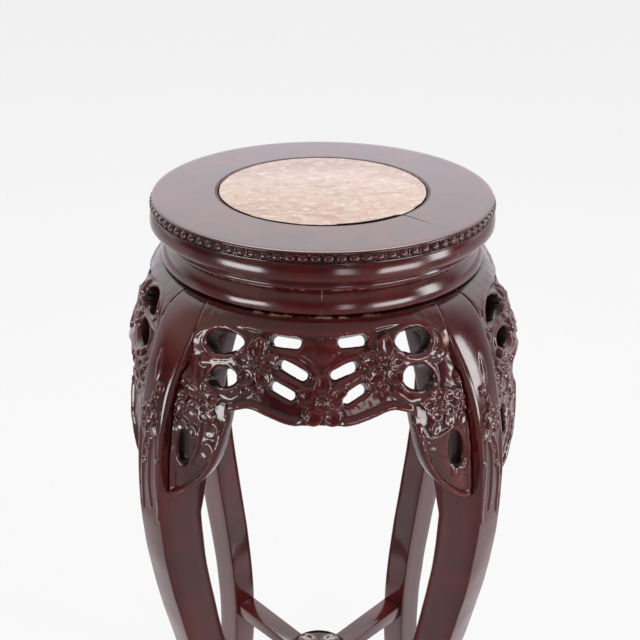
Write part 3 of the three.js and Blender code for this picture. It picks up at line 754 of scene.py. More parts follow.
@dataclass
class TopFrame:
    """Four moulded segments around the marble, with the beaded edge."""

    bore: float = 124.5
    bore_bevel: float = 2.9
    ledge: float = 110.5
    ledge_drop: float = 12.0
    ledge_foot: float = 30.0
    rail_inner: float = 140.0
    beads: int = 24
    steps_per_bead: int = 12
    bead_drop: float = 7.0
    bead_half_length: float = 5.5
    bead_half_height: float = 4.0
    bead_lift: float = 2.7
    bar_lift: float = 1.5
    band: Pair = (2.5, 11.5)
    lip_drop: float = 14.0
    parting: float = 0.75
    quarter: float = 89.93
    sharp: float = 38.0

    def section(self) -> Points:
        """Returns the closed section, radius and drop, from the bore outwards and back underneath."""
        flat, neck, under, groove = BODY.flat_radius, BODY.neck_radius, BODY.frame_drop, BODY.groove_drop
        edge = [(-1.4, 0.0), (-0.3, 0.25), (0.7, 0.9), (1.2, 1.7), (1.2, 2.3)]
        band = [(0.4 + 0.18 * i, 2.9 + 0.92 * i) for i in range(10)]
        cove = [(3.5, 11.6), (3.6, 12.1), (2.4, 12.8), (2.0, 13.6), (2.5, 14.5)]
        ovolo = arc((flat - 30.0, 27.5), (35.0, 35.0), (-21.8, 0), 8)
        ovolo += arc((flat - 6.0, 27.5), (11.0, 9.0), (0, 90), 9)[1:]
        foot = [
            (1.4, 36.7), (0.3, 37.6), (0.2, 38.8), (1.0, 40.0), (1.9, 41.4), (2.2, 43.0), (1.9, 44.8),
            (0.9, 46.3), (-0.6, under),
        ]
        inner = [
            (BODY.groove_outer, under), (BODY.groove_outer, groove), (BODY.groove_inner, groove),
            (BODY.groove_inner, under), (self.rail_inner + 1.0, under), (self.rail_inner, under - 1.0),
            (self.rail_inner, self.ledge_foot), (self.ledge + 1.0, self.ledge_foot),
            (self.ledge, self.ledge_foot - 1.0), (self.ledge, self.ledge_drop), (self.bore, self.ledge_drop),
            (self.bore, 1.0), (self.bore + self.bore_bevel, 0.0), (self.bore + self.bore_bevel + 0.7, 0.0),
        ]
        return [
            *[(self.bore + 8.0 + 10.0 * i, 0.0) for i in range(7)],
            *[(flat + out, drop) for out, drop in (*edge, *band, *cove)],
            *ovolo,
            *[(neck + out, drop) for out, drop in foot],
            *inner,
        ]

    def beading(self, angle: Array, drop: Array) -> Array:
        """Returns how far the beads and the bars between them stand out of their band."""
        pitch = 90.0 / self.beads
        length = pitch * math.pi / 180 * BODY.flat_radius
        cell = (angle + 45.0) / pitch
        number = np.floor(cell)
        wander = 0.4 * np.sin(number * 0.9) + 0.3 * np.sin(number * 2.3)
        across = (cell - number - 0.5) * pitch * math.pi / 180 * BODY.flat_radius
        down = drop - self.bead_drop - 0.2 * wander
        away = np.hypot(across / (self.bead_half_length + 0.25 * wander), down / self.bead_half_height)
        bar = self.bar_lift * bell(length / 2 - np.abs(across), 0, 0.55) * ease(4.4 - np.abs(down), 0.0, 1.0)
        return np.maximum(self.bead_lift * dome(away, 1.0), bar)

    def carve(self, bm: Mesh, side: Side) -> None:
        """Raises the beads and the bars between them, and opens the joint at the front right a little."""
        rows = rows_of(bm)
        radius, angle, drop = polar(rows)
        on_band = (drop > self.band[0]) & (drop < self.band[1]) & (radius > BODY.flat_radius - 0.5)
        lift = np.where(on_band, self.beading(angle, drop), 0.0)
        slow = Wobble(5, 60.0)(rows[:, 0] + rows[:, 2], rows[:, 1])
        swell = np.where((radius > 185) & (drop > self.lip_drop), 0.25 * slow, 0.0)
        rows[:, :2] *= ((radius + lift + swell) / radius)[:, None]
        self.open_joint(rows, side, radius, angle, drop)
        # Painted shade between the beads, in the cove under the band and over the whole bead band.
        hollow = np.where(on_band, 1.0 - np.clip(lift / 1.6, 0, 1), 0.0)
        cove = bell(drop, 13.4, 0.8) * (radius > 195)
        store(
            bm,
            crevice=np.clip(0.92 * np.maximum(hollow, cove), np.where(on_band, 0.22, 0.0), 1),
            rub=np.where(on_band, 0.25 * ease(lift, 1.6, 2.5), 0.0),
            seam=0.9 * bell(drop, 46.2, 0.5) * (radius > 189),
            stain=(1 - ease(radius - self.bore, self.bore_bevel, self.bore_bevel + 0.6)) * (drop < 4),
        )
        move_rows(bm, rows)

    def open_joint(self, rows: Array, side: Side, radius: Array, angle: Array, drop: Array) -> None:
        """Draws back the ends of the two segments that have parted at the front right."""
        if side in (Side.FRONT, Side.RIGHT):
            sign = 1 if side is Side.FRONT else -1
            end = (angle * sign > 44.8) & (drop < self.lip_drop)
            part = np.where(end, self.parting * math.sqrt(0.5) * ease(radius, 180, 130), 0.0)
            rows[:, 0] += part
            rows[:, 1] -= sign * part

    def build(self, finish: bpy.types.Material) -> None:
        """Makes the four segments."""
        for side in Side:
            bm = spun(self.section(), self.quarter, self.beads * self.steps_per_bead)
            self.carve(bm, side)
            name = f"top_frame_{side.name.lower()}"
            Piece(f"moulded_{name}", name, "frame_lacquer", finish, self.sharp).make(bm, side.value)


@dataclass
class MarbleDisc:
    """The marble set flush in the frame, a little chipped at its front right edge."""

    radius: float = 122.9
    thickness: float = 12.0
    arris: float = 0.8
    steps: int = 180
    worn_cut: float = 2.9
    nick_cut: float = 0.9

    def build(self, finish: bpy.types.Material) -> None:
        """Makes the disc."""
        bm = bmesh.new()
        bmesh.ops.create_circle(bm, cap_ends=True, radius=self.radius - self.arris, segments=self.steps)
        top = bm.faces[:]
        for share in (0.1, 0.4, 0.3):
            bmesh.ops.inset_region(bm, faces=top, thickness=self.radius * share)
        rim = [edge for edge in bm.edges if edge.is_boundary]
        for grow, fall in ((0.55, 0.25), (0.25, 0.55), (0.0, self.thickness - self.arris)):
            made = bmesh.ops.extrude_edge_only(bm, edges=rim)["geom"]
            rim = [part for part in made if isinstance(part, bmesh.types.BMEdge)]
            for vert in (part for part in made if isinstance(part, bmesh.types.BMVert)):
                vert.co.xy *= 1 + grow / vert.co.xy.length
                vert.co.z -= fall
        fill_holes(bm)
        bmesh.ops.translate(bm, vec=(0, 0, BODY.height), verts=bm.verts)
        self.chip(bm)
        Piece("marble_disc", "marble_top", "marble", finish).make(bm)

    def chip(self, bm: Mesh) -> None:
        """Cuts the worn stretch of the rim back, marks it, and darkens the disc's side below its top arris.
        """
        rows = rows_of(bm)
        radius, angle, drop = polar(rows)
        worn = between(angle, -85, -82, -49, -46)
        nick = between(angle, -46, -44, -35, -32)
        edge = radius > self.radius - 2
        uneven = 0.3 + 0.4 * Wobble(31, 26.0)(rows[:, 0], rows[:, 1])
        cut = np.where(edge, self.worn_cut * worn + (1 - nick) * uneven - self.nick_cut * nick, 0.0)
        rows[:, :2] *= ((radius - cut) / np.maximum(radius, 1.0))[:, None]
        store(
            bm,
            rub=np.where(edge & (drop < 2), np.clip(0.25 + nick, 0, 1), 0.0),
            # Darker on the disc's side, below its top arris.
            dirt=ease(drop, 0.4, 0.8) * (radius > self.radius - 4),
        )
        move_rows(bm, rows)


@dataclass
class Waist:
    """Four moulded segments between the frame and the body."""

    wall_inner: float = 170.0
    collar: float = 187.4
    face: float = 186.0
    quarter: float = 89.91
    steps: int = 56

    def section(self) -> Points:
        """Returns the closed section, radius and drop."""
        under, body, tongue = BODY.frame_drop, BODY.body_drop, BODY.groove_drop + BODY.fit
        near, far = BODY.groove_inner + BODY.fit, BODY.groove_outer - BODY.fit
        torus = arc((164.5, 71.5), (29.5, 29.5), (-49, 0), 16)
        torus += arc((183.6, 71.5), (10.4, 4.5), (0, 66), 7)[1:]
        inner = [(self.wall_inner, body), (self.wall_inner, under)]
        inner += [(near, under), (near, tongue), (far, tongue), (far, under)]
        return [(self.collar, under), (self.collar - 1.8, under + 0.6), *torus, (self.collar, body), *inner]

    def build(self, finish: bpy.types.Material) -> None:
        """Makes the four segments."""
        for corner in Corner:
            bm = spun(self.section(), self.quarter, self.steps)
            rows = rows_of(bm)
            radius, _, drop = polar(rows)
            outside = radius > self.face
            slow = Wobble(corner.value + 400, 70.0)(rows[:, 0], rows[:, 1] + 2 * drop)
            swell = np.where(outside & (drop > BODY.frame_drop + 1), 0.22 * slow, 0.0)
            rows[:, :2] *= ((radius + swell) / radius)[:, None]
            # Painted shade along the joints with the frame and with the body.
            groove = bell(drop, BODY.frame_drop + 1, 0.9) + bell(drop, BODY.body_drop, 0.9)
            store(bm, crevice=np.where(outside, np.clip(0.75 * groove, 0, 1), 0.0))
            move_rows(bm, rows)
            name = f"waist_{corner.name.lower()}"
            Piece(f"moulded_{name}", name, "frame_lacquer", finish).make(bm, corner.value)


# Carving


class Stamp:
    """A carved form that stands above its ground."""

    def lift(self, x: Array, y: Array) -> Array:
        """Returns heights over the ground at the points, 0 outside the form."""
        raise NotImplementedError

    def fine(self, x: Array, y: Array) -> Array:
        """Returns where the mesh has to be fine: nowhere, unless a form says so."""
        return np.zeros(np.shape(x), bool)


@dataclass(frozen=True)
class Spot(Stamp):
    """A carved form around one place."""

    along: float
    drop: float

    def reach(self) -> float:
        """Returns how far round its place the form needs a fine mesh."""
        raise NotImplementedError

    def away(self, x: Array, y: Array) -> Array:
        """Returns the distances of the points from the form's place."""
        return np.hypot(x - self.along, y - self.drop)

    def fine(self, x: Array, y: Array) -> Array:
        """Returns where the mesh has to be fine."""
        return self.away(x, y) < self.reach()

    def turned(self, x: Array, y: Array, turn: float, length: float, width: float) -> tuple[Array, Array]:
        """Returns the points along and across a form turned by degrees, in half lengths and half widths."""
        angle = math.radians(turn)
        dx, dy = x - self.along, -(y - self.drop)
        out = (dx * math.cos(angle) + dy * math.sin(angle)) / (length / 2)
        side = (-dx * math.sin(angle) + dy * math.cos(angle)) / (width / 2)
        return out, side


@dataclass(frozen=True)
class Petal(Spot):
    """One rounded petal with a rolled rim."""

    width: float
    length: float
    turn: float = 90.0
    height: float = 5.0
    rays: int = 0

    def reach(self) -> float:
        """Returns how far round its place the form needs a fine mesh."""
        return max(self.width, self.length) * 0.56

    def lift(self, x: Array, y: Array) -> Array:
        """Returns heights over the ground at the points."""
        out, side = self.turned(x, y, self.turn, self.length, self.width)
        rho = np.hypot(out, side)
        cup = 0.52 + 0.54 * np.clip(rho, 0, 1) ** 2.2 + 0.06 * out
        shape = self.height * cup * np.clip(1 - rho**7, 0, 1) ** 0.5
        if self.rays:
            fan = np.cos(np.arctan2(side, out + 1.6) * self.rays)
            shape = shape * (1 - 0.10 * ease(fan, -0.4, 0.6) * (rho < 0.8) * (out > -0.6))
        return shape


@dataclass(frozen=True)
class Blossom(Spot):
    """A prunus blossom: five petals with rolled rims around a boss and its stamens."""

    petals: ClassVar[int] = 5
    rays: ClassVar[int] = 7
    radius: float
    turn: float = 90.0
    height: float = 6.0
    seeds: int = 9
    squash: float = 1.0

    def reach(self) -> float:
        """Returns how far round its place the form needs a fine mesh."""
        return self.radius * 1.05

    def ring(self) -> list[Petal]:
        """Returns the petals."""
        out = 0.61 * self.radius
        made = []
        for index in range(self.petals):
            angle = math.radians(self.turn + 360 / self.petals * index)
            place = (self.along + out * math.cos(angle) * self.squash, self.drop - out * math.sin(angle))
            size = (0.75 * self.radius * self.squash, 0.78 * self.radius)
            height = self.height * (1.0 + 0.07 * math.cos(3 * index + self.along))
            made.append(Petal(*place, *size, math.degrees(angle), height, self.rays))
        return made

    def lift(self, x: Array, y: Array) -> Array:
        """Returns heights over the ground at the points."""
        dx, dy = (x - self.along) / self.squash, -(y - self.drop)
        away, around = np.hypot(dx, dy), np.arctan2(dy, dx)
        heart, ring, seed, boss = (share * self.radius for share in (0.40, 0.27, 0.075, 0.13))
        total = np.zeros_like(dx)
        for petal in self.ring():
            total = np.maximum(total, petal.lift(x, y))
        throat = self.height * (0.46 + 0.5 * (away / (0.42 * self.radius)) ** 2)
        total = np.where(away < heart, np.minimum(np.maximum(total, throat * 0.9), throat), total)
        spot = np.hypot(away - ring, ring * np.sin(around * self.seeds / 2) * 2 / self.seeds)
        total = np.maximum(total, self.height * (0.5 + 0.42 * dome(spot, seed)) * (spot < seed))
        return np.maximum(total, self.height * (0.45 + 0.5 * dome(away, boss)) * (away < boss))


@dataclass(frozen=True)
class Bud(Spot):
    """A round bud with a cleft."""

    radius: float
    height: float = 4.0
    cleft: float = 0.0

    def reach(self) -> float:
        """Returns how far round its place the form needs a fine mesh."""
        return self.radius * 1.2

    def lift(self, x: Array, y: Array) -> Array:
        """Returns heights over the ground at the points."""
        away = self.away(x, y)
        slant = math.radians(self.cleft)
        line = (x - self.along) * math.cos(slant) + (y - self.drop) * math.sin(slant)
        mark = bell(line, 0, 0.14 * self.radius) * (away < self.radius * 0.8)
        return self.height * dome(away, self.radius) ** 0.8 * (1 - 0.25 * mark)


@dataclass(frozen=True)
class Leaf(Spot):
    """A pointed leaf with a midrib and side veins."""

    length: float
    width: float
    turn: float
    height: float = 3.2
    veins: int = 5

    def reach(self) -> float:
        """Returns how far round its place the form needs a fine mesh."""
        return self.length * 0.55

    def lift(self, x: Array, y: Array) -> Array:
        """Returns heights over the ground at the points."""
        out, side = self.turned(x, y, self.turn, self.length, self.width)
        room = np.clip(1 - np.abs(out) ** 1.7, 0, 1)
        share = np.abs(side) / np.maximum(room, 1e-3)
        body = np.sqrt(np.clip(1 - share**2, 0, 1)) * np.sqrt(room)
        rib = 1 - 0.35 * bell(side, 0, 0.14)
        vein = 1 - 0.12 * (0.5 + 0.5 * np.cos((out * 1.4 - np.abs(side)) * math.pi * self.veins))
        return self.height * body * rib * vein


@dataclass(frozen=True)
class Branch(Stamp):
    """A rounded stem along a line."""

    path: tuple[Pair, ...]
    width: float
    height: float = 3.0
    taper: float = 0.0

    def lift(self, x: Array, y: Array) -> Array:
        """Returns heights over the ground at the points."""
        line = smooth_curve(self.path, 3.0)
        best = np.full(np.shape(x), 1e9)
        place = np.zeros(np.shape(x))
        for index, (a, b) in enumerate(zip(line, line[1:])):
            span = b - a
            share = np.clip(((x - a[0]) * span[0] + (y - a[1]) * span[1]) / (span @ span), 0, 1)
            away = np.hypot(x - a[0] - share * span[0], y - a[1] - share * span[1])
            nearer = away < best
            best = np.where(nearer, away, best)
            place = np.where(nearer, (index + share) / (len(line) - 1), place)
        half = self.width / 2 * (1 - self.taper * place)
        return self.height * np.clip(1 - (best / half) ** 2, 0, 1) ** 0.75 * (1 - 0.4 * self.taper * place)


@dataclass(frozen=True)
class Opening:
    """A hole sawn through a board."""

    along: float
    drop: float
    width: float
    height: float
    tilt: float

    def outline(self, spacing: float) -> Array:
        """Returns the closed outline, without its last point repeated."""
        x, y = self.level_outline(spacing)
        tilt = math.radians(self.tilt)
        across = self.along + x * math.cos(tilt) - y * math.sin(tilt)
        return np.column_stack([across, self.drop - (x * math.sin(tilt) + y * math.cos(tilt))])

    def level_outline(self, spacing: float) -> Array:
        """Returns the outline around the origin before it is tilted: its x and its y."""
        raise NotImplementedError


@dataclass(frozen=True)
class Oval(Opening):
    """An opening with a round outline, narrower at one end where it is pinched."""

    pinch: float = 0.0

    def level_outline(self, spacing: float) -> Array:
        """Returns the outline around the origin before it is tilted."""
        count = int(math.pi * (self.width + self.height) / 2 / spacing)
        around = np.linspace(0, 2 * math.pi, count, endpoint=False)
        narrowing = 1 + self.pinch * np.cos(around)
        return np.array([self.width / 2 * np.cos(around), self.height / 2 * np.sin(around) * narrowing])


@dataclass(frozen=True)
class Slot(Opening):
    """An opening with straight sides and round ends."""

    def level_outline(self, spacing: float) -> Array:
        """Returns the outline around the origin before it is tilted."""
        half, radius = (self.width - self.height) / 2, self.height / 2
        ends = np.linspace(-math.pi / 2, math.pi / 2, 9)
        right = np.column_stack([half + radius * np.cos(ends), radius * np.sin(ends)])
        return resampled(np.vstack([right, -right, right[:1]]), spacing)[:-1].T


class Outline:
    """A closed or open line, for distances to it."""

    def __init__(self, loops: Sequence[Array], closed: bool = True) -> None:
        """Keeps the line's spans and a search tree of its points."""
        after = [np.roll(loop, -1, axis=0) if closed else loop[1:] for loop in loops]
        self.starts = np.vstack([loop[: len(ends)] for loop, ends in zip(loops, after)])
        self.ends = np.vstack(after)
        self.before = np.arange(len(self.starts)) - 1
        self.tree = kdtree.KDTree(len(self.starts))
        for index, (x, y) in enumerate(self.starts):
            self.tree.insert((x, y, 0.0), index)
        self.tree.balance()

    def distance(self, x: Array, y: Array) -> Array:
        """Returns how far each point is from the line."""
        near = np.array([self.tree.find((a, b, 0.0))[1] for a, b in zip(x, y)])
        here = np.column_stack([x, y])
        best = np.full(len(here), 1e9)
        for index in (near, self.before[near]):
            a = self.starts[index]
            span = self.ends[index] - a
            share = np.clip(np.sum((here - a) * span, 1) / np.maximum(np.sum(span * span, 1), 1e-9), 0, 1)
            best = np.minimum(best, np.hypot(*(here - a - span * share[:, None]).T))
        return best


def inside(x: Array, y: Array, loop: Array) -> Array:
    """Returns whether each point lies within a closed outline."""
    result = np.zeros(np.shape(x), bool)
    for (x0, y0), (x1, y1) in zip(loop, np.roll(loop, -1, axis=0)):
        if y0 != y1:
            crosses = (y0 > y) != (y1 > y)
            result ^= crosses & (x < (x1 - x0) * (y - y0) / (y1 - y0) + x0)
    return result


@dataclass
class Apron:
    """A bowed board sawn through and carved with blossoms, stems and lobes.

    Its drawing is flat, with x along the board from its middle and y the drop.
    """

    wall: float = 20.0
    lean: float = 8.0
    plain_spacing: float = 2.4
    spacing: float = 1.3
    fine_spacing: float = 0.95
    opening_spacing: float = 1.2
    edge_rings: tuple[float, ...] = (0.5, 1.2, 2.2)
    carved_drop: float = 82.0
    ground: float = 3.4
    lobe_ground: float = 2.4
    lip_lift: float = 1.1
    lip_width: float = 1.5
    collar_lift: float = 2.6
    collar_out: float = 4.0
    reed_lift: float = 0.14
    reed_pitch: float = 5.0
    opening_fall: float = 2.6
    opening_reach: float = 5.0
    rim_lift: float = 3.0
    lobe_rim_lift: float = 1.6
    lobe_drop: float = 297.0
    seam_drop: float = 295.6
    swell: float = 5.0
    thin_lobe: float = 5.5
    stand_left: float = 1.5
    stand_right: float = 9.5
    farthest: float = 240.6
    sharp: float = 46.0
    ovals: tuple[Oval, ...] = (
        Oval(-117.0, 107.0, 50.0, 23.0, 9.0, -0.25),
        Oval(-113.0, 143.0, 33.0, 20.0, 9.0),
        Oval(111.0, 103.5, 46.0, 25.0, -7.0, 0.25),
        Oval(113.0, 141.5, 38.0, 26.0, -12.0),
    )
    others: tuple[Opening, ...] = (
        Oval(-150.0, 229.0, 20.0, 44.0, -4.0),
        Oval(150.0, 229.0, 20.0, 44.0, 4.0),
        Slot(-42.7, 98.7, 37.5, 11.0, -4.0),
        Slot(-32.8, 127.5, 37.0, 10.5, -24.0),
        Slot(-43.8, 148.3, 32.0, 10.0, -24.0),
        Slot(38.0, 97.3, 36.0, 11.0, 5.0),
        Slot(27.0, 127.3, 34.0, 10.5, 21.0),
        Slot(38.0, 150.3, 31.0, 10.5, 28.0),
    )

    @staticmethod
    def carving() -> list[Stamp]:
        """Returns every carved form of an apron, the lower ones first."""
        return [
            # Stems between the openings
            Branch(((-4, 132), (-24, 117), (-44, 112), (-60, 112)), 10.0, 1.6),
            Branch(((-4, 150), (-26, 142), (-46, 134), (-60, 128)), 10.0, 1.6),
            Branch(((4, 132), (22, 117), (42, 110), (58, 110)), 10.0, 1.6),
            Branch(((5, 150), (24, 141), (44, 131), (58, 126)), 10.0, 1.6),
            Branch(((-90, 124), (-104, 124), (-122, 126), (-142, 130)), 13.0, 2.6),
            Branch(((88, 119), (102, 121), (122, 122), (142, 124)), 13.0, 2.6),
            Branch(((-84, 150), (-98, 160), (-114, 160), (-128, 152)), 11.0, 2.4),
            Branch(((82, 148), (96, 160), (112, 162), (130, 156)), 11.0, 2.4),
            # Side blossoms, each with a tall upper petal
            Blossom(-75.1, 121.8, 27.0, 92.0, 7.4, 10),
            Petal(-72.0, 103.0, 15.0, 22.0, 90.0, 8.2, 9),
            Petal(-71.0, 147.0, 12.0, 12.0, 240.0, 4.2),
            Petal(-84.5, 148.7, 10.0, 11.0, 200.0, 3.8),
            Blossom(72.5, 119.0, 27.0, 88.0, 7.4, 10),
            Petal(75.0, 101.0, 16.0, 22.0, 90.0, 8.2, 9),
            Petal(57.4, 143.0, 10.0, 11.0, 300.0, 3.8),
            Petal(69.6, 142.0, 12.0, 12.0, 270.0, 4.2),
            # Blossom at the middle of the lower edge
            Blossom(1.7, 156.4, 28.5, 90.0, 5.4, 10),
            # Left lobe
            Petal(-116.8, 197.7, 17.0, 21.0, 70.0, 4.6),
            Petal(-139.3, 206.0, 13.0, 17.0, 100.0, 3.8),
            Petal(-152.5, 203.0, 15.0, 18.0, 80.0, 4.4),
            Petal(-166.0, 200.0, 12.0, 15.0, 120.0, 3.6),
            Branch(((-130, 190), (-131, 206), (-134, 226), (-142, 246)), 6.0, 2.4, 0.3),
            Petal(-121.0, 224.0, 16.0, 24.0, 75.0, 3.0),
            Bud(-160.2, 152.4, 8.2, 6.4, 30.0),
            Blossom(-163.0, 177.5, 17.5, 120.0, 6.4, 6),
            Blossom(-131.8, 166.5, 20.5, 80.0, 7.0, 7),
            Petal(-124.5, 184.0, 18.0, 15.0, 260.0, 6.4, 12),
            # Right lobe
            Petal(141.0, 190.5, 14.0, 16.0, 280.0, 4.6),
            Petal(124.0, 195.5, 15.0, 17.0, 250.0, 4.4, 12),
            Petal(157.0, 193.5, 12.0, 17.0, 260.0, 4.2, 8),
            Branch(((106, 199), (120, 206), (134, 205), (146, 200)), 5.0, 2.2),
            Branch(((168, 190), (166, 214), (166, 236), (158, 256)), 6.0, 2.0, 0.4),
            Petal(147.5, 250.0, 9.0, 22.0, 80.0, 2.8, 10),
            Bud(162.6, 149.0, 9.0, 7.0, 60.0),
            Blossom(162.5, 170.0, 17.5, 75.0, 6.6, 6),
            Blossom(130.8, 169.0, 20.5, 100.0, 7.0, 7),
        ]

    @staticmethod
    def lip() -> Array:
        """Returns the closed outline of the sunk field, whose upper side is the raised lip."""
        left = [
            (-146, 150), (-153, 130), (-155.5, 111), (-150, 102), (-142.7, 97.2), (-131.6, 92.0),
            (-116.9, 88.6), (-93.2, 87.2), (-69.9, 87.8), (-45.1, 88.4), (-1.7, 88.7),
        ]
        right = [
            (34.4, 87.3), (67.1, 84.4), (93.6, 83.5), (120.2, 85.2), (134.8, 89.3), (144.9, 96.5),
            (148.5, 106), (148, 122), (145, 140), (142, 152),
        ]
        return np.vstack([smooth_curve([*left, *right], 2.0), [(112.0, 205.0), (-112.0, 205.0)]])

    def lower_edge(self) -> Array:
        """Returns the lower edge of the right half, from the middle to the tip of the lobe."""
        arch = [(0, 182.0), (32, 182.0), (55, 175.8), (78, 169.5), (98, 174.6)]
        lobe = [
            (101.2, 177.5), (103.8, 199.6), (110.0, 230.8), (123.8, 259.0), (144.0, 282.0),
            (158, 292.5), (169.5, 296.5),
        ]
        return np.vstack([smooth_curve(part, self.spacing) for part in (arch, lobe)])

    def seam(self) -> Array:
        """Returns the seam with the leg on the right, from the lobe up to the waist."""
        drops = np.append(np.arange(293.0, BODY.body_drop, -self.spacing), BODY.body_drop)
        tip = (BODY.seam_along(self.seam_drop) - 1.6, self.seam_drop)
        return np.vstack([[tip], np.column_stack([BODY.seam_along(drops), drops])])

    def loops(self) -> tuple[Array, list[Array], list[Array], Array]:
        """Returns the outer outline, the outlines of the ovals and the other openings, and the lower edge."""
        low, seam = self.lower_edge(), self.seam()
        steps = np.linspace(seam[-1, 0], 0, 70)[1:]
        top = np.column_stack([steps, np.full(len(steps), BODY.body_drop)])
        half = np.vstack([low, seam, top])
        outer = np.vstack([half, half[1:-1][::-1] * (-1, 1)])
        lower = np.vstack([low[::-1] * (-1, 1), low[1:]])
        ovals = [hole.outline(self.opening_spacing) for hole in self.ovals]
        others = [hole.outline(self.opening_spacing) for hole in self.others]
        return outer, ovals, others, lower

    def rings(self, outer: Array, openings: list[Array]) -> list[tuple[float, Array]]:
        """Returns lines that follow every edge on the board's side, each with its distance from the edge."""
        made = []
        for loop, sign in [(outer, 1.0), *[(loop, -1.0) for loop in openings]]:
            after = np.roll(loop, -1, axis=0)
            turn = np.sign(np.sum(loop[:, 0] * after[:, 1] - after[:, 0] * loop[:, 1]))
            along = after - np.roll(loop, 1, axis=0)
            along /= np.maximum(np.hypot(*along.T), 1e-9)[:, None]
            inward = np.column_stack([-along[:, 1], along[:, 0]]) * turn * sign
            made += [(reach, loop + inward * reach) for reach in self.edge_rings]
        return made

    def scattered(self, outer: Array, openings: list[Array]) -> Array:
        """Returns the points that fill the board: rings along every edge, and a net finer at the carving.

        Args:
            outer: Outer outline.
            openings: Outlines of the openings.

        Returns:
            Points that lie on the board, clear of its edges.
        """
        edges = Outline([outer, *openings])
        kept = []
        for reach, ring in self.rings(outer, openings):
            clear = edges.distance(*ring.T) > reach * 0.85
            kept.append(ring[self.on_board(*ring.T, outer, openings) & clear])
        for band, gap in enumerate((self.plain_spacing, self.spacing, self.fine_spacing)):
            net = self.net(gap)
            detail = np.any([stamp.fine(*net.T) for stamp in self.carving()], axis=0)
            net = net[np.where(detail, 2, np.where(net[:, 1] > self.carved_drop, 1, 0)) == band]
            net = net[self.on_board(*net.T, outer, openings)]
            kept.append(net[edges.distance(*net.T) > self.edge_rings[-1] + gap * 0.5])
        return np.vstack(kept)

    def net(self, gap: float) -> Array:
        """Returns a net of points in offset rows over the whole board."""
        rows = np.arange(BODY.body_drop, self.lobe_drop, gap * 0.866)
        x, y = np.meshgrid(np.arange(-190.0, 190.0, gap), rows)
        x = x + (np.arange(len(rows)) % 2)[:, None] * gap / 2
        return np.column_stack([x.ravel(), y.ravel()])

    @staticmethod
    def on_board(x: Array, y: Array, outer: Array, openings: list[Array]) -> Array:
        """Returns whether each point lies on the board and in no opening."""
        good = inside(x, y, outer)
        for loop in openings:
            (left, top), (right, foot) = loop.min(axis=0), loop.max(axis=0)
            picked = np.flatnonzero((x > left) & (x < right) & (y > top) & (y < foot) & good)
            good[picked[inside(x[picked], y[picked], loop)]] = False
        return good

    def sheet(self) -> Mesh:
        """Returns the flat sawn board, one face thick, with x along it and y its drop."""
        outer, ovals, others, _ = self.loops()
        openings = [*ovals, *others]
        edges = []
        start = 0
        for loop in (outer, *openings):
            count = len(loop)
            edges += [(start + i, start + (i + 1) % count) for i in range(count)]
            start += count
        rows = np.vstack([outer, *openings, self.scattered(outer, openings)])
        rows = [Vector(row) for row in rows]
        verts, _, faces, *_ = geometry.delaunay_2d_cdt(rows, edges, [], 1, 1e-5, False)
        places = np.array([vert[:] for vert in verts])
        faces = np.array([face for face in faces if len(face) == 3])
        faces = faces[self.on_board(*places[faces].mean(axis=1).T, outer, openings)]
        bm = bmesh.new()
        made = [bm.verts.new((x, y, 0.0)) for x, y in places]
        for face in faces:
            bm.faces.new([made[index] for index in face])
        bmesh.ops.delete(bm, geom=[vert for vert in bm.verts if not vert.link_faces], context="VERTS")
        return bm

    def measured(self, x: Array, y: Array) -> dict[str, Array]:
        """Returns how far the points are from the lip, the openings, the lower edge and the seams."""
        _, ovals, others, lower = self.loops()
        lip = self.lip()
        from_lip = Outline([lip]).distance(x, y)
        return {
            "sunk": np.where(inside(x, y, lip), from_lip, -from_lip),
            "oval": Outline(ovals).distance(x, y),
            "hole": Outline([*ovals, *others]).distance(x, y),
            "low": Outline([lower], closed=False).distance(x, y),
            "seam": np.abs(BODY.seam_along(y) - np.abs(x)),
        }

    def ground_height(self, x: Array, y: Array, far: dict[str, Array], lobe: Array) -> Array:
        """Returns the heights of the sunk field, the lobes, the lips and the sawn openings."""
        sunk = ease(far["sunk"], 0.0, 5.0) * (1 - ease(np.abs(x), 138, 156))
        height = -self.ground * sunk * (1 - lobe)
        height = height - self.lobe_ground * lobe * ease(far["low"], 3, 9) * ease(far["seam"], 0, 6)
        height = height + self.lip_lift * bell(far["sunk"], -0.9, self.lip_width) * (y < 125)
        height = height + self.collar_lift * bell(far["oval"], self.collar_out, 2.6) * sunk
        reeds = np.cos(x * 2 * math.pi / self.reed_pitch) * bell(x, 0, 16) * between(y, 90, 94, 106, 112)
        height = height + self.reed_lift * reeds
        near = np.clip(self.opening_reach - far["hole"], 0, self.opening_reach)
        fall = self.opening_fall * (1 - dome(near, self.opening_reach))
        height = height - fall * (0.4 + 0.6 * sunk)
        return height + self.swell * bell(np.abs(x), 70, 36) * bell(y, 120, 26)

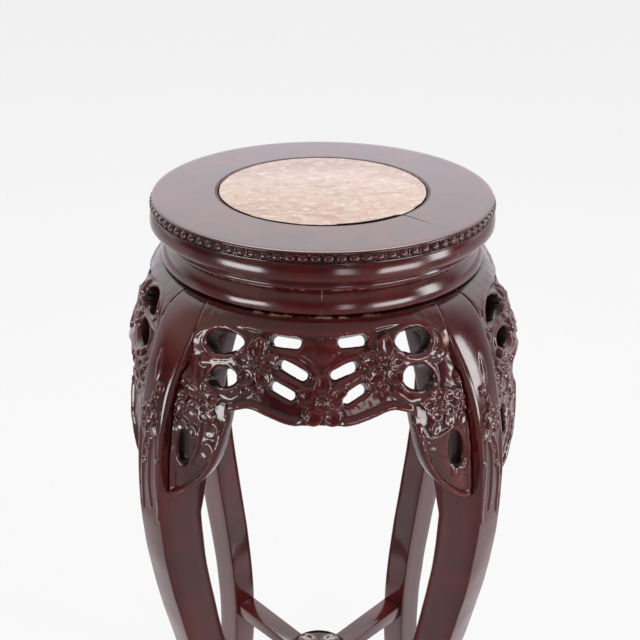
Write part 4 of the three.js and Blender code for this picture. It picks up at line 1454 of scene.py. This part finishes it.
    def relief(self, x: Array, y: Array, far: dict[str, Array], seed: int) -> Array:
        """Works out the carved surface.

        Args:
            x: Places along the board.
            y: Drops of the same points.
            far: The distances that measured gives.
            seed: Picks the unevenness of this apron.

        Returns:
            Heights over the board's plain face.
        """
        lobe = ease(y, 186, 204)
        height = self.ground_height(x, y, far, lobe)
        bent_x = x + 0.8 * Wobble(seed, 50.0)(x, y)
        bent_y = y + 0.6 * Wobble(seed + 1, 50.0)(x, y)
        rise = np.zeros_like(x)
        for stamp in self.carving():
            form = stamp.lift(bent_x, bent_y)
            if isinstance(stamp, Branch):
                rise = np.maximum(rise, form)
            else:
                rise = np.where(form > 0.02, np.maximum(form, rise * 0.75), rise)
        height = np.where(rise > 0, np.maximum(height, height * 0.4 - 1.2 + rise), height)
        rim = dome(far["low"] - 4.2, 4.6) * between(np.abs(x), 20, 26, 100, 106)
        height = height + self.rim_lift * rim * (y > 150)
        height = height + self.lobe_rim_lift * dome(far["low"] - 3.0, 3.4) * lobe
        height = height + 0.4 * Wobble(seed + 2, 24.0)(x, y) + 0.14 * Wobble(seed + 3, 8.0)(x, y)
        for edge, radius in (("hole", 2.0), ("low", 2.2), ("seam", 1.2)):
            height = height - rounding(far[edge], radius)
        return height

    def build(self, finish: bpy.types.Material) -> None:
        """Makes the four aprons."""
        flat = bpy.data.meshes.new("sawn_board")
        sheet = self.sheet()
        far = self.measured(*rows_of(sheet).T[:2])
        sheet.to_mesh(flat)
        sheet.free()
        for side in Side:
            bm = bmesh.new()
            bm.from_mesh(flat)
            self.carve(bm, far, side)
            self.bow(bm)
            name = f"apron_{side.name.lower()}"
            Piece(f"carved_{name}", name, "carved_lacquer", finish, self.sharp).make(bm, side.value)
        bpy.data.meshes.remove(flat)

    def wear(self, x: Array, y: Array, rub: Array) -> tuple[Array, Array, Array]:
        """Returns the front apron's rubbed places, its chipped places and the chipped spot at its right seam.
        """
        rub = np.maximum(rub, 0.9 * ease(x, 118, 150) * ease(y, 196, 216))
        spot = np.exp(-(((x - 153) / 3.2) ** 2) - ((y - 107) / 5) ** 2)
        worn = spot
        for along, reach in ((-88, 4.5), (-66, 7), (-46, 9), (6, 9), (62, 8)):
            worn = np.maximum(worn, bell(x, along, reach) * (y < 80))
        return rub, worn, spot

    def carve(self, bm: Mesh, far: dict[str, Array], side: Side) -> None:
        """Works out one apron's carving and wear, and stores them on its flat board."""
        x, y, _ = rows_of(bm).T
        height = self.relief(x, y, far, 100 + side.value)
        if side in (Side.LEFT, Side.RIGHT):
            forward, stand = (x, self.stand_left) if side is Side.LEFT else (-x, self.stand_right)
            height = height + stand * (bell(forward, 78, 48) * bell(y, 150, 42)) * ease(far["seam"], 0, 12)
        if side is Side.LEFT:
            height = height - self.thin_lobe * ease(x, 80, 108) * ease(y, 176, 196)
        height = softened(bm, height, 1)
        slow = softened(bm, height, 9)
        rub = np.clip((height - slow - 0.25) / 1.2, 0, 1)
        worn = spot = np.zeros_like(x)
        if side is Side.FRONT:
            rub, worn, spot = self.wear(x, y, rub)
        top = 0.82 * bell(y, BODY.body_drop + 0.5, 0.4) * between(x, -100, -92, 70, 80)
        sides = bell(far["seam"], 0, 0.55) * (0.3 + 0.7 * (x > 0)) * ease(140 - y, 0, 20)
        edge = np.minimum(np.minimum(far["low"], far["seam"] + 3), y - BODY.body_drop)
        # Painted shade in the carving's hollows and along the joint under the waist.
        hollow = np.clip((slow - height) / 1.3, 0, 1) * 0.85
        store(
            bm,
            crevice=np.clip(hollow + 0.8 * bell(y, BODY.body_drop, 0.9), 0, 1),
            rub=rub,
            worn=worn,
            seam=np.maximum(np.maximum(spot, sides), top),
            lift=height,
            slide=self.lean * ease(edge, 0.4, 17.0),
            core=bell(far["hole"], 0, 6.0),
        )

    def bow(self, bm: Mesh) -> None:
        """Gives a carved flat board its thickness and wraps it round the table."""
        bmesh.ops.solidify(bm, geom=bm.faces[:], thickness=-self.wall)
        places = rows_of(bm)
        back = np.abs(places[:, 2]) > self.wall / 2
        # Painted shade on the back faces round the openings, which show through them.
        crevice = np.where(back, 0.85 * stored(bm, "core"), stored(bm, "crevice"))
        store(bm, crevice=crevice, rub=np.where(back, 0.0, stored(bm, "rub")))
        places[:, 1] += np.where(back, stored(bm, "slide"), 0.0)
        move_rows(bm, self.wrapped(places, np.where(back, 0.0, stored(bm, "lift")), back))

    def wrapped(self, places: Array, lift: Array, back: Array) -> Array:
        """Returns the places of the flat board's vertices once it is bowed and wrapped round the table."""
        x, drop = places[:, 0], places[:, 1]
        face_seam = BODY.seam_along(drop)
        own_seam = np.where(back, BODY.seam_along(drop, self.wall), face_seam)
        share = ease(np.abs(x) / face_seam, 0.8, 1.0)
        angle = x / BODY.wrap_radius * mix(1.0, own_seam / face_seam, share)
        radius = BODY.apron_radius(drop, angle) - np.where(back, self.wall, 0.0) + lift
        room = 2.0
        start = self.farthest - room
        over = np.clip(radius * np.cos(angle) - start, 0, None)
        radius = np.where(over > 0, (start + room * np.tanh(over / room)) / np.cos(angle), radius)
        return np.column_stack([radius * np.cos(angle), radius * np.sin(angle), BODY.height - drop])


# Legs


@dataclass
class Leg:
    """A cabriole leg with a carved knee and a claw-and-ball foot."""

    arris: float = 2.2
    face_steps: int = 30
    thigh_round: float = 3.2
    crown: float = 0.9
    thigh_crown: float = 2.2
    stem_ground: float = 1.6
    post_depth: float = 24.0
    post_height: float = 61.0
    foot_drop: float = 878.0
    ball_radius: float = 25.0
    ball_flat: float = 2.5
    toe_turns: tuple[float, ...] = (-62.0, 0.0, 62.0, 180.0)
    toe_radius: float = 7.2
    skin: float = 1.3
    sharp: float = 50.0

    def drops(self) -> Array:
        """Returns the levels of the shaft's rings, close together at the carved knee."""
        spans = ((BODY.body_drop, 120.0, 3.5), (120.0, 350.0, 1.3), (350.0, self.foot_drop, 8.0))
        return np.concatenate([*(np.arange(*span) for span in spans), [self.foot_drop]])

    def ring(self, half: float, depth: float, radius: float) -> Array:
        """Returns the ring of one level, from the middle of the inner face all the way round.

        Args:
            half: Half the leg's width.
            depth: Its radial thickness.
            radius: How far its arrises are rounded.

        Returns:
            Places across the leg and inwards from its outer face.
        """
        turns = [(radius * math.cos(a), radius * math.sin(a)) for a in np.radians(np.linspace(0, 90, 5))]
        right = [(half - radius + across, depth - radius + down) for across, down in turns[::-1]]
        outer = [(half - radius + across, radius - down) for across, down in turns]
        face = [(x, 0.0) for x in np.linspace(half - radius, radius - half, self.face_steps)[1:-1]]
        side = [(half, depth * share) for share in (0.7, 0.5, 0.3)]
        near = [(0.0, depth), (half * 0.5, depth), *right, *side, *outer]
        return np.array([*near, *face, *[(-x, y) for x, y in near][::-1]])

    @staticmethod
    def knee() -> list[Stamp]:
        """Returns the carved forms on the knee, around its middle line."""
        return [
            Leaf(2.0, 146.0, 40.0, 8.5, 84.0, 1.5, 1),
            Bud(-8.0, 166.0, 5.6, 3.0, 20.0),
            Bud(-3.0, 177.0, 5.0, 2.8, 60.0),
            Blossom(0.0, 197.0, 15.5, 96.0, 5.0, 7, 0.92),
            Petal(6.5, 213.0, 9.0, 11.0, 285.0, 3.4),
            Branch(((-4, 208), (-11, 224), (-13, 250), (-14, 300), (-15, 330)), 7.0, 1.9, 0.25),
            Branch(((3, 222), (9, 240), (12, 266), (13, 300), (13, 326)), 7.0, 1.8, 0.35),
            Branch(((-3, 228), (0, 252), (0, 286), (-1, 318)), 7.0, 1.7, 0.3),
            Bud(-14.5, 250.0, 3.8, 2.4),
            Bud(-13.8, 301.0, 3.8, 2.4),
            Bud(9.5, 260.0, 4.2, 2.6),
            Bud(2.0, 240.0, 4.0, 3.0),
        ]

    def shaft(self, seed: int, hand: int) -> Mesh:
        """Returns the shaft around +X, from the waist down to the foot.

        Args:
            seed: Picks the unevenness of this leg.
            hand: 1, or -1 where the carving is the other way round.

        Returns:
            A closed mesh with its crevice and rub values.
        """
        drops = self.drops()
        radii = self.arris + self.thigh_round * bell(drops, 165, 60)
        sizes = zip(BODY.leg_half_width(drops), BODY.leg_depth(drops), radii)
        rings = np.array([self.ring(*size) for size in sizes])
        levels, around = rings.shape[:2]
        bm = bmesh.new()
        bmesh.ops.create_grid(bm, x_segments=around, y_segments=levels - 1, size=0.5)
        grid = rows_of(bm)
        column = np.rint((grid[:, 0] + 0.5) * around).astype(int) % around
        row = np.rint((grid[:, 1] + 0.5) * (levels - 1)).astype(int)
        across, inward = rings[row, column].T
        drop = drops[row]
        half, depth = BODY.leg_half_width(drop), BODY.leg_depth(drop)
        crown = self.crown + self.thigh_crown * bell(drop, 135, 50)
        lift = -crown * (np.abs(across) / half) ** 2 * (1 - ease(inward, depth * 0.3, depth * 0.7))
        carved = self.carving(across, drop, seed, hand) * (1 - ease(inward, 0.2, 3.0))
        wave = 0.3 * Wobble(seed, 60.0)(across + 2 * inward, drop)
        radius = BODY.face_radius(drop) - inward + lift + carved + wave * (drop > 84)
        seam = bell(half - np.abs(across), 0, 0.8) * bell(inward, 2, 2) * (drop < 105) * 0.3
        store(bm, lift=carved, seam=seam)
        move_rows(bm, np.column_stack([radius, across, BODY.height - drop]))
        bmesh.ops.remove_doubles(bm, verts=bm.verts, dist=WELD)
        self.shade(bm)
        fill_holes(bm)
        return bm

    @staticmethod
    def shade(bm: Mesh) -> None:
        """Paints shade into the hollows, onto the side behind the aprons and along the joint under the waist,
        and rubs the shaft's raised places.
        """
        rows = rows_of(bm)
        drop = BODY.height - rows[:, 2]
        height = stored(bm, "lift")
        slow = softened(bm, height, 7)
        # Painted shade on the side hidden behind the aprons.
        hidden = ease(BODY.face_radius(drop) - rows[:, 0], 12, 24) * (1 - ease(drop, 290, 330))
        hollow = np.clip((slow - height) / 0.9, 0, 1) * 0.85
        top = 0.8 * bell(drop, BODY.body_drop, 1.2)
        store(
            bm,
            crevice=np.maximum(hollow, np.maximum(0.3 * hidden, top)),
            rub=np.clip((height - slow - 0.1) / 0.8, 0, 1),
        )

    def carving(self, across: Array, drop: Array, seed: int, hand: int) -> Array:
        """Returns the height of the knee's carving at the points."""
        bent = hand * across + 0.6 * Wobble(seed + 1, 40.0)(across, drop)
        rise = np.zeros_like(bent)
        for stamp in self.knee():
            rise = np.maximum(rise, stamp.lift(bent, drop))
        sunk = between(drop, 214, 232, 312, 340) * (1 - ease(np.abs(bent), 14.0, 17.5))
        return rise - self.stem_ground * sunk

    def post(self) -> Mesh:
        """Returns the post that rises behind the waist."""
        depth, height = self.post_depth, self.post_height
        middle = (BODY.post_radius + depth / 2, 0, BODY.height - BODY.frame_drop - height / 2)
        bm = bmesh.new()
        bmesh.ops.create_cube(bm, size=1.0)
        bmesh.ops.scale(bm, vec=(depth, 2 * BODY.plank_half, height), verts=bm.verts)
        bmesh.ops.translate(bm, vec=middle, verts=bm.verts)
        bevel(bm, [edge for edge in bm.edges if abs(edge.verts[0].co.z - edge.verts[1].co.z) > 1], 2.0)
        return bm

    def foot_radius(self) -> float:
        """Returns how far the middle of the foot is from the table's axis."""
        return BODY.face_radius(self.foot_drop) - BODY.leg_depth(self.foot_drop) / 2

    def toe(self, angle: float) -> Mesh:
        """Returns one toe with its knuckles and claw, bent over the ball down to the floor."""
        path = smooth_curve([(6, 84), (16, 66), (26, 47), (31, 34), (29.5, 19), (26, 9), (23.5, 1.0)], 2.0)
        share = np.linspace(0, 1, len(path))
        swell = self.toe_radius + 1.5 * bell(share, 0.42, 0.07) + 1.3 * bell(share, 0.70, 0.06)
        swell = swell * (1 - 0.62 * ease(share, 0.78, 1.0))
        bm = bmesh.new()
        rims = []
        for index, ((out, up), radius) in enumerate(zip(path, swell)):
            ahead = path[min(index + 1, len(path) - 1)] - path[max(index - 1, 0)]
            place = Matrix.Translation((out, 0, up)) @ Matrix.Rotation(math.atan2(*ahead), 4, "Y")
            ring = bmesh.ops.create_circle(bm, cap_ends=False, radius=radius, segments=14, matrix=place)
            rims.append(list({edge for vert in ring["verts"] for edge in vert.link_edges}))
        for above, below in zip(rims, rims[1:]):
            bmesh.ops.bridge_loops(bm, edges=above + below)
        fill_holes(bm)
        place = Matrix.Translation((self.foot_radius(), 0, 0)) @ turned_to(angle)
        bmesh.ops.transform(bm, matrix=place, verts=bm.verts)
        bmesh.ops.recalc_face_normals(bm, faces=bm.faces)
        return bm

    def foot(self) -> Mesh:
        """Returns the ball with its claw, grown together into one skin."""
        spot, middle = self.foot_radius(), self.ball_radius - self.ball_flat
        ball = bmesh.new()
        centre = Matrix.Translation((spot, 0, middle))
        bmesh.ops.create_uvsphere(ball, u_segments=40, v_segments=24, radius=self.ball_radius, matrix=centre)
        whole = joined([ball, *[self.toe(turn) for turn in self.toe_turns]])
        data = bpy.data.meshes.new("foot")
        whole.to_mesh(data)
        whole.free()
        carrier = linked("foot", data)
        skin = carrier.modifiers.new("skin", "REMESH")
        skin.mode, skin.voxel_size = "VOXEL", self.skin
        soft = carrier.modifiers.new("soft", "SMOOTH")
        soft.factor, soft.iterations = 0.5, 3
        ready = carrier.evaluated_get(bpy.context.evaluated_depsgraph_get()).to_mesh()
        bm = bmesh.new()
        bm.from_mesh(ready)
        bpy.data.objects.remove(carrier)
        bpy.data.meshes.remove(data)
        rows = rows_of(bm)
        rows[:, 2] = np.maximum(rows[:, 2], 0.0)
        away = np.hypot(rows[:, 0] - spot, rows[:, 1])
        proud = np.hypot(away, rows[:, 2] - middle) - self.ball_radius
        # Painted shade where the claw meets the ball.
        store(bm, crevice=0.8 * bell(proud, 0.9, 0.8), rub=ease(proud, 5, 9))
        move_rows(bm, rows)
        return bm

    def build(self, finish: bpy.types.Material) -> None:
        """Makes the four legs, whose carving is the other way round on every second one."""
        for corner in Corner:
            hand = -1 if corner in (Corner.FRONT_LEFT, Corner.BACK_RIGHT) else 1
            bm = joined([self.shaft(corner.value + 600, hand), self.post(), self.foot()])
            name = f"leg_{corner.name.lower()}"
            Piece(f"carved_{name}", name, "carved_lacquer", finish, self.sharp).make(bm, corner.value)


# Stretcher and inner joinery


@dataclass
class Stretcher:
    """Two crossed rails and the rosette over their crossing."""

    rise: float = 150.0
    height: float = 24.0
    arris: float = 1.6
    disc_radius: float = 52.0
    disc_thickness: float = 5.0
    blossom_radius: float = 46.0
    peg_radius: float = 6.0
    peg_length: float = 15.7
    core: float = 0.6

    def eased_copy(self, node: str) -> Mesh:
        """Returns a copy of a node in millimetres, unturned, with its arrises rounded."""
        bm = bmesh.new()
        bm.from_mesh(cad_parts[node].data)
        bmesh.ops.scale(bm, vec=(1 / MM,) * 3, verts=bm.verts)
        bmesh.ops.remove_doubles(bm, verts=bm.verts, dist=0.01)
        bmesh.ops.dissolve_limit(bm, angle_limit=math.radians(1), verts=bm.verts, edges=bm.edges)
        sharp = [edge for edge in bm.edges if edge.calc_face_angle(0.0) > math.radians(50)]
        bevel(bm, sharp, self.arris, clamp_overlap=True)
        return bm

    def disc(self) -> Mesh:
        """Returns the rosette's plain turned disc with its peg."""
        seat = self.rise + self.height / 2
        foot = seat - self.peg_length
        peg = [(self.core, foot), (self.peg_radius, foot), (self.peg_radius, seat)]
        under = (self.disc_radius * 0.9, seat)
        crown = [(r, seat + self.disc_thickness) for r in np.linspace(self.disc_radius, self.core, 34)]
        bm = bmesh.new()
        verts = [bm.verts.new((radius, 0.0, z)) for radius, z in (*peg, under, *crown)]
        edges = [bm.edges.new(pair) for pair in zip(verts, verts[1:])]
        spin(bm, [*verts, *edges], 360, 120)
        fill_holes(bm)
        return bm

    def rosette(self) -> Mesh:
        """Returns the rosette, a broad blossom on a turned disc with its peg."""
        bm = self.disc()
        rows = rows_of(bm)
        away = np.hypot(rows[:, 0], rows[:, 1])
        upper = rows[:, 2] > self.rise + self.height / 2 + 4
        petals = Blossom(0.0, 0.0, self.blossom_radius, 90.0, 8.0, 10).lift(rows[:, 0], rows[:, 1])
        rim = 2.2 * bell(away, 48.5, 1.8)
        lift = np.where(upper, np.maximum(petals, rim) - 2.7 * ease(away, 49.5, 52.0), 0.0)
        rows[:, 2] += lift
        # Painted shade on the blossom's low places.
        crevice = np.where(upper, 1 - ease(lift, 0.2, 3.0), 0.0) * 0.8
        store(bm, crevice=crevice, rub=np.where(upper, ease(lift, 5, 8), 0.0))
        move_rows(bm, rows)
        return bm

    def build(self, finish: bpy.types.Material) -> None:
        """Makes the rails and the rosette."""
        for which in ("lower", "upper"):
            node = f"stretcher_rail_{which}"
            Piece(f"arched_{node}", node, "carved_lacquer", finish).make(self.eased_copy(node))
        Piece("carved_rosette", "stretcher_rosette", "carved_lacquer", finish).make(self.rosette())


def dress(nodes: Iterable[str], finish: bpy.types.Material) -> None:
    """Gives CAD nodes that stay a finish."""
    for name in nodes:
        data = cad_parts[name].data
        data.materials.clear()
        data.materials.append(finish)


# Studio, in metres


@dataclass(frozen=True)
class Lamp:
    """A flat lamp that is turned towards the top of the table."""

    name: str
    place: tuple[float, float, float]
    width: float
    height: float
    watts: float
    target: tuple[float, float, float] = (0, 0, 0.75)

    def build(self) -> None:
        """Hangs the lamp, out of the camera's sight."""
        data = bpy.data.lights.new(self.name, "AREA")
        data.shape, data.energy = "RECTANGLE", self.watts
        data.size, data.size_y = self.width, self.height
        made = linked(self.name, data)
        made.location = self.place
        made.rotation_euler = (Vector(self.target) - Vector(self.place)).to_track_quat("-Z", "Y").to_euler()
        made.visible_camera = False


@dataclass(frozen=True)
class Studio:
    """Pale floor, soft lamps and a pale room."""

    pale: Colour = (0.955, 0.955, 0.96, 1)
    wall_low: Colour = (0.80, 0.79, 0.85, 1)
    wall_high: Colour = (0.97, 0.98, 1.0, 1)
    dim_low: Colour = (0.030, 0.026, 0.026, 1)
    dim_high: Colour = (0.27, 0.24, 0.235, 1)
    warm: Colour = (0.38, 0.33, 0.28, 1)
    bounce_front: Colour = (0.30, 0.27, 0.27, 1)
    bounce_back: Colour = (0.72, 0.68, 0.71, 1)
    floor_light: Colour = (0.86, 0.86, 0.87, 1)
    floor_dark: Colour = (0.80, 0.80, 0.81, 1)
    glow: float = 0.84
    room: float = 1.25
    floor_radius: float = 14.0
    floor_gap: float = 0.0005
    lamps: tuple[Lamp, ...] = (
        Lamp("window_left", (-1.95, -1.75, 0.60), 1.3, 0.6, 18.0),
        Lamp("window_right", (1.95, -1.85, 0.62), 1.3, 0.6, 16.5),
        Lamp("window_front", (0.68, -2.60, 0.90), 0.35, 0.8, 2.6),
        Lamp("window_side", (2.5, -0.7, 1.2), 0.6, 1.2, 15.0),
        Lamp("ceiling", (0.0, 1.1, 3.2), 2.4, 1.6, 48.0),
    )

    def world(self) -> None:
        """Makes the room: pale behind the table, dimmer towards the front and white to the camera."""
        world = bpy.data.worlds.new("room")
        world.use_nodes = True
        shader = Shader("room", world.node_tree)
        x, y, z = shader.axes(shader.node("TexCoord").outputs["Generated"])
        back = shader.blend(shader.step(z, 0.27, 0.42), self.wall_low, self.wall_high)
        front = shader.blend(shader.step(z, 0.20, 0.68), self.dim_low, self.dim_high)
        left = shader.math("MULTIPLY", shader.step(x, -0.8, -0.3, 1.0, 0.0), shader.step(z, 0.1, 0.4))
        front = shader.blend(left, front, self.warm)
        inner = shader.made("Background", shader.blend(shader.step(y, 0.05, 0.5), front, back), self.room)
        outer = shader.made("Background", self.pale)
        seen = shader.node("LightPath").outputs["Is Camera Ray"]
        shader.feed(shader.node("OutputWorld").inputs[0], shader.made("MixShader", seen, inner, outer))
        bpy.context.scene.world = world

    def floor(self) -> None:
        """Makes the floor, which shows pale to the camera and keeps a soft shadow."""
        shader = Shader("pale_floor")
        _, y, _ = shader.axes(shader.place())
        cloud = shader.step(shader.noise(shader.place(), 3.0, 3.0), 0.3, 0.7, 0.0, 0.2)
        bounce = shader.blend(shader.step(y, -0.6, 0.25), self.bounce_front, self.bounce_back)
        seen = shader.node("LightPath").outputs["Is Camera Ray"]
        colour = shader.blend(seen, bounce, shader.blend(cloud, self.floor_light, self.floor_dark))
        matt, glow = shader.made("BsdfDiffuse", colour), shader.made("Emission", self.pale)
        choice = shader.made("MixShader", shader.math("MULTIPLY", seen, self.glow), matt, glow)
        shader.feed(shader.node("OutputMaterial").inputs["Surface"], choice)
        bm = bmesh.new()
        bmesh.ops.create_circle(bm, cap_ends=True, radius=self.floor_radius, segments=96)
        bmesh.ops.translate(bm, vec=(0, 0, -self.floor_gap), verts=bm.verts)
        data = bpy.data.meshes.new("floor")
        bm.to_mesh(data)
        bm.free()
        data.materials.append(shader.material)
        linked("floor", data)

    def build(self) -> None:
        """Makes the whole studio."""
        self.world()
        self.floor()
        for lamp in self.lamps:
            lamp.build()


@dataclass(frozen=True)
class Viewpoint:
    """The camera, at the photograph's angle."""

    place: tuple[float, float, float] = (0.00024, -1.0904, 1.2795)
    tilt: float = 63.64
    roll: float = 0.45
    yaw: float = 0.12
    lens: float = 54.0
    sensor: float = 36.0

    def build(self) -> None:
        """Makes the camera and sets it as the scene's own."""
        data = bpy.data.cameras.new("camera")
        data.lens, data.sensor_width = self.lens, self.sensor
        camera = linked("camera", data)
        tilt = Matrix.Rotation(math.radians(self.tilt), 4, "X")
        turn = turned_to(self.yaw) @ tilt @ turned_to(self.roll)
        camera.matrix_world = Matrix.Translation(self.place) @ turn
        bpy.context.scene.camera = camera
        bpy.context.scene.view_settings.view_transform = "Standard"


def main() -> None:
    """Builds the finishes, the pieces, the studio and the camera."""
    logging.basicConfig(level=logging.INFO, format="%(message)s")
    effects = Effects()
    carved = Lacquer("carved_lacquer")
    turned = replace(carved, waves=0.22, roughness=0.16, coat_roughness=0.14)
    ring = replace(turned, name="frame_lacquer", levels=(867.0,), joint=Joint.DIAGONAL, chips=0.38)
    waist = replace(turned, name="waist_lacquer", levels=(867.0, 838.0), joint=Joint.SQUARE, chips=0.37)
    raw = RawWood("raw_wood").material(effects)
    steel = Steel("screw_steel").material(effects)
    MarbleDisc().build(Marble("rose_marble").material(effects))
    TopFrame().build(ring.material(effects))
    Waist().build(waist.material(effects))
    lacquer = carved.material(effects)
    for part in (Apron(), Leg(), Stretcher()):
        part.build(lacquer)
    dress(["marble_batten", *[f"glue_block_{side.name.lower()}" for side in Side]], raw)
    dress([f"block_screw_{side.name.lower()}" for side in Side], steel)
    Studio().build()
    Viewpoint().build()


if __name__ == "__main__":
    main()
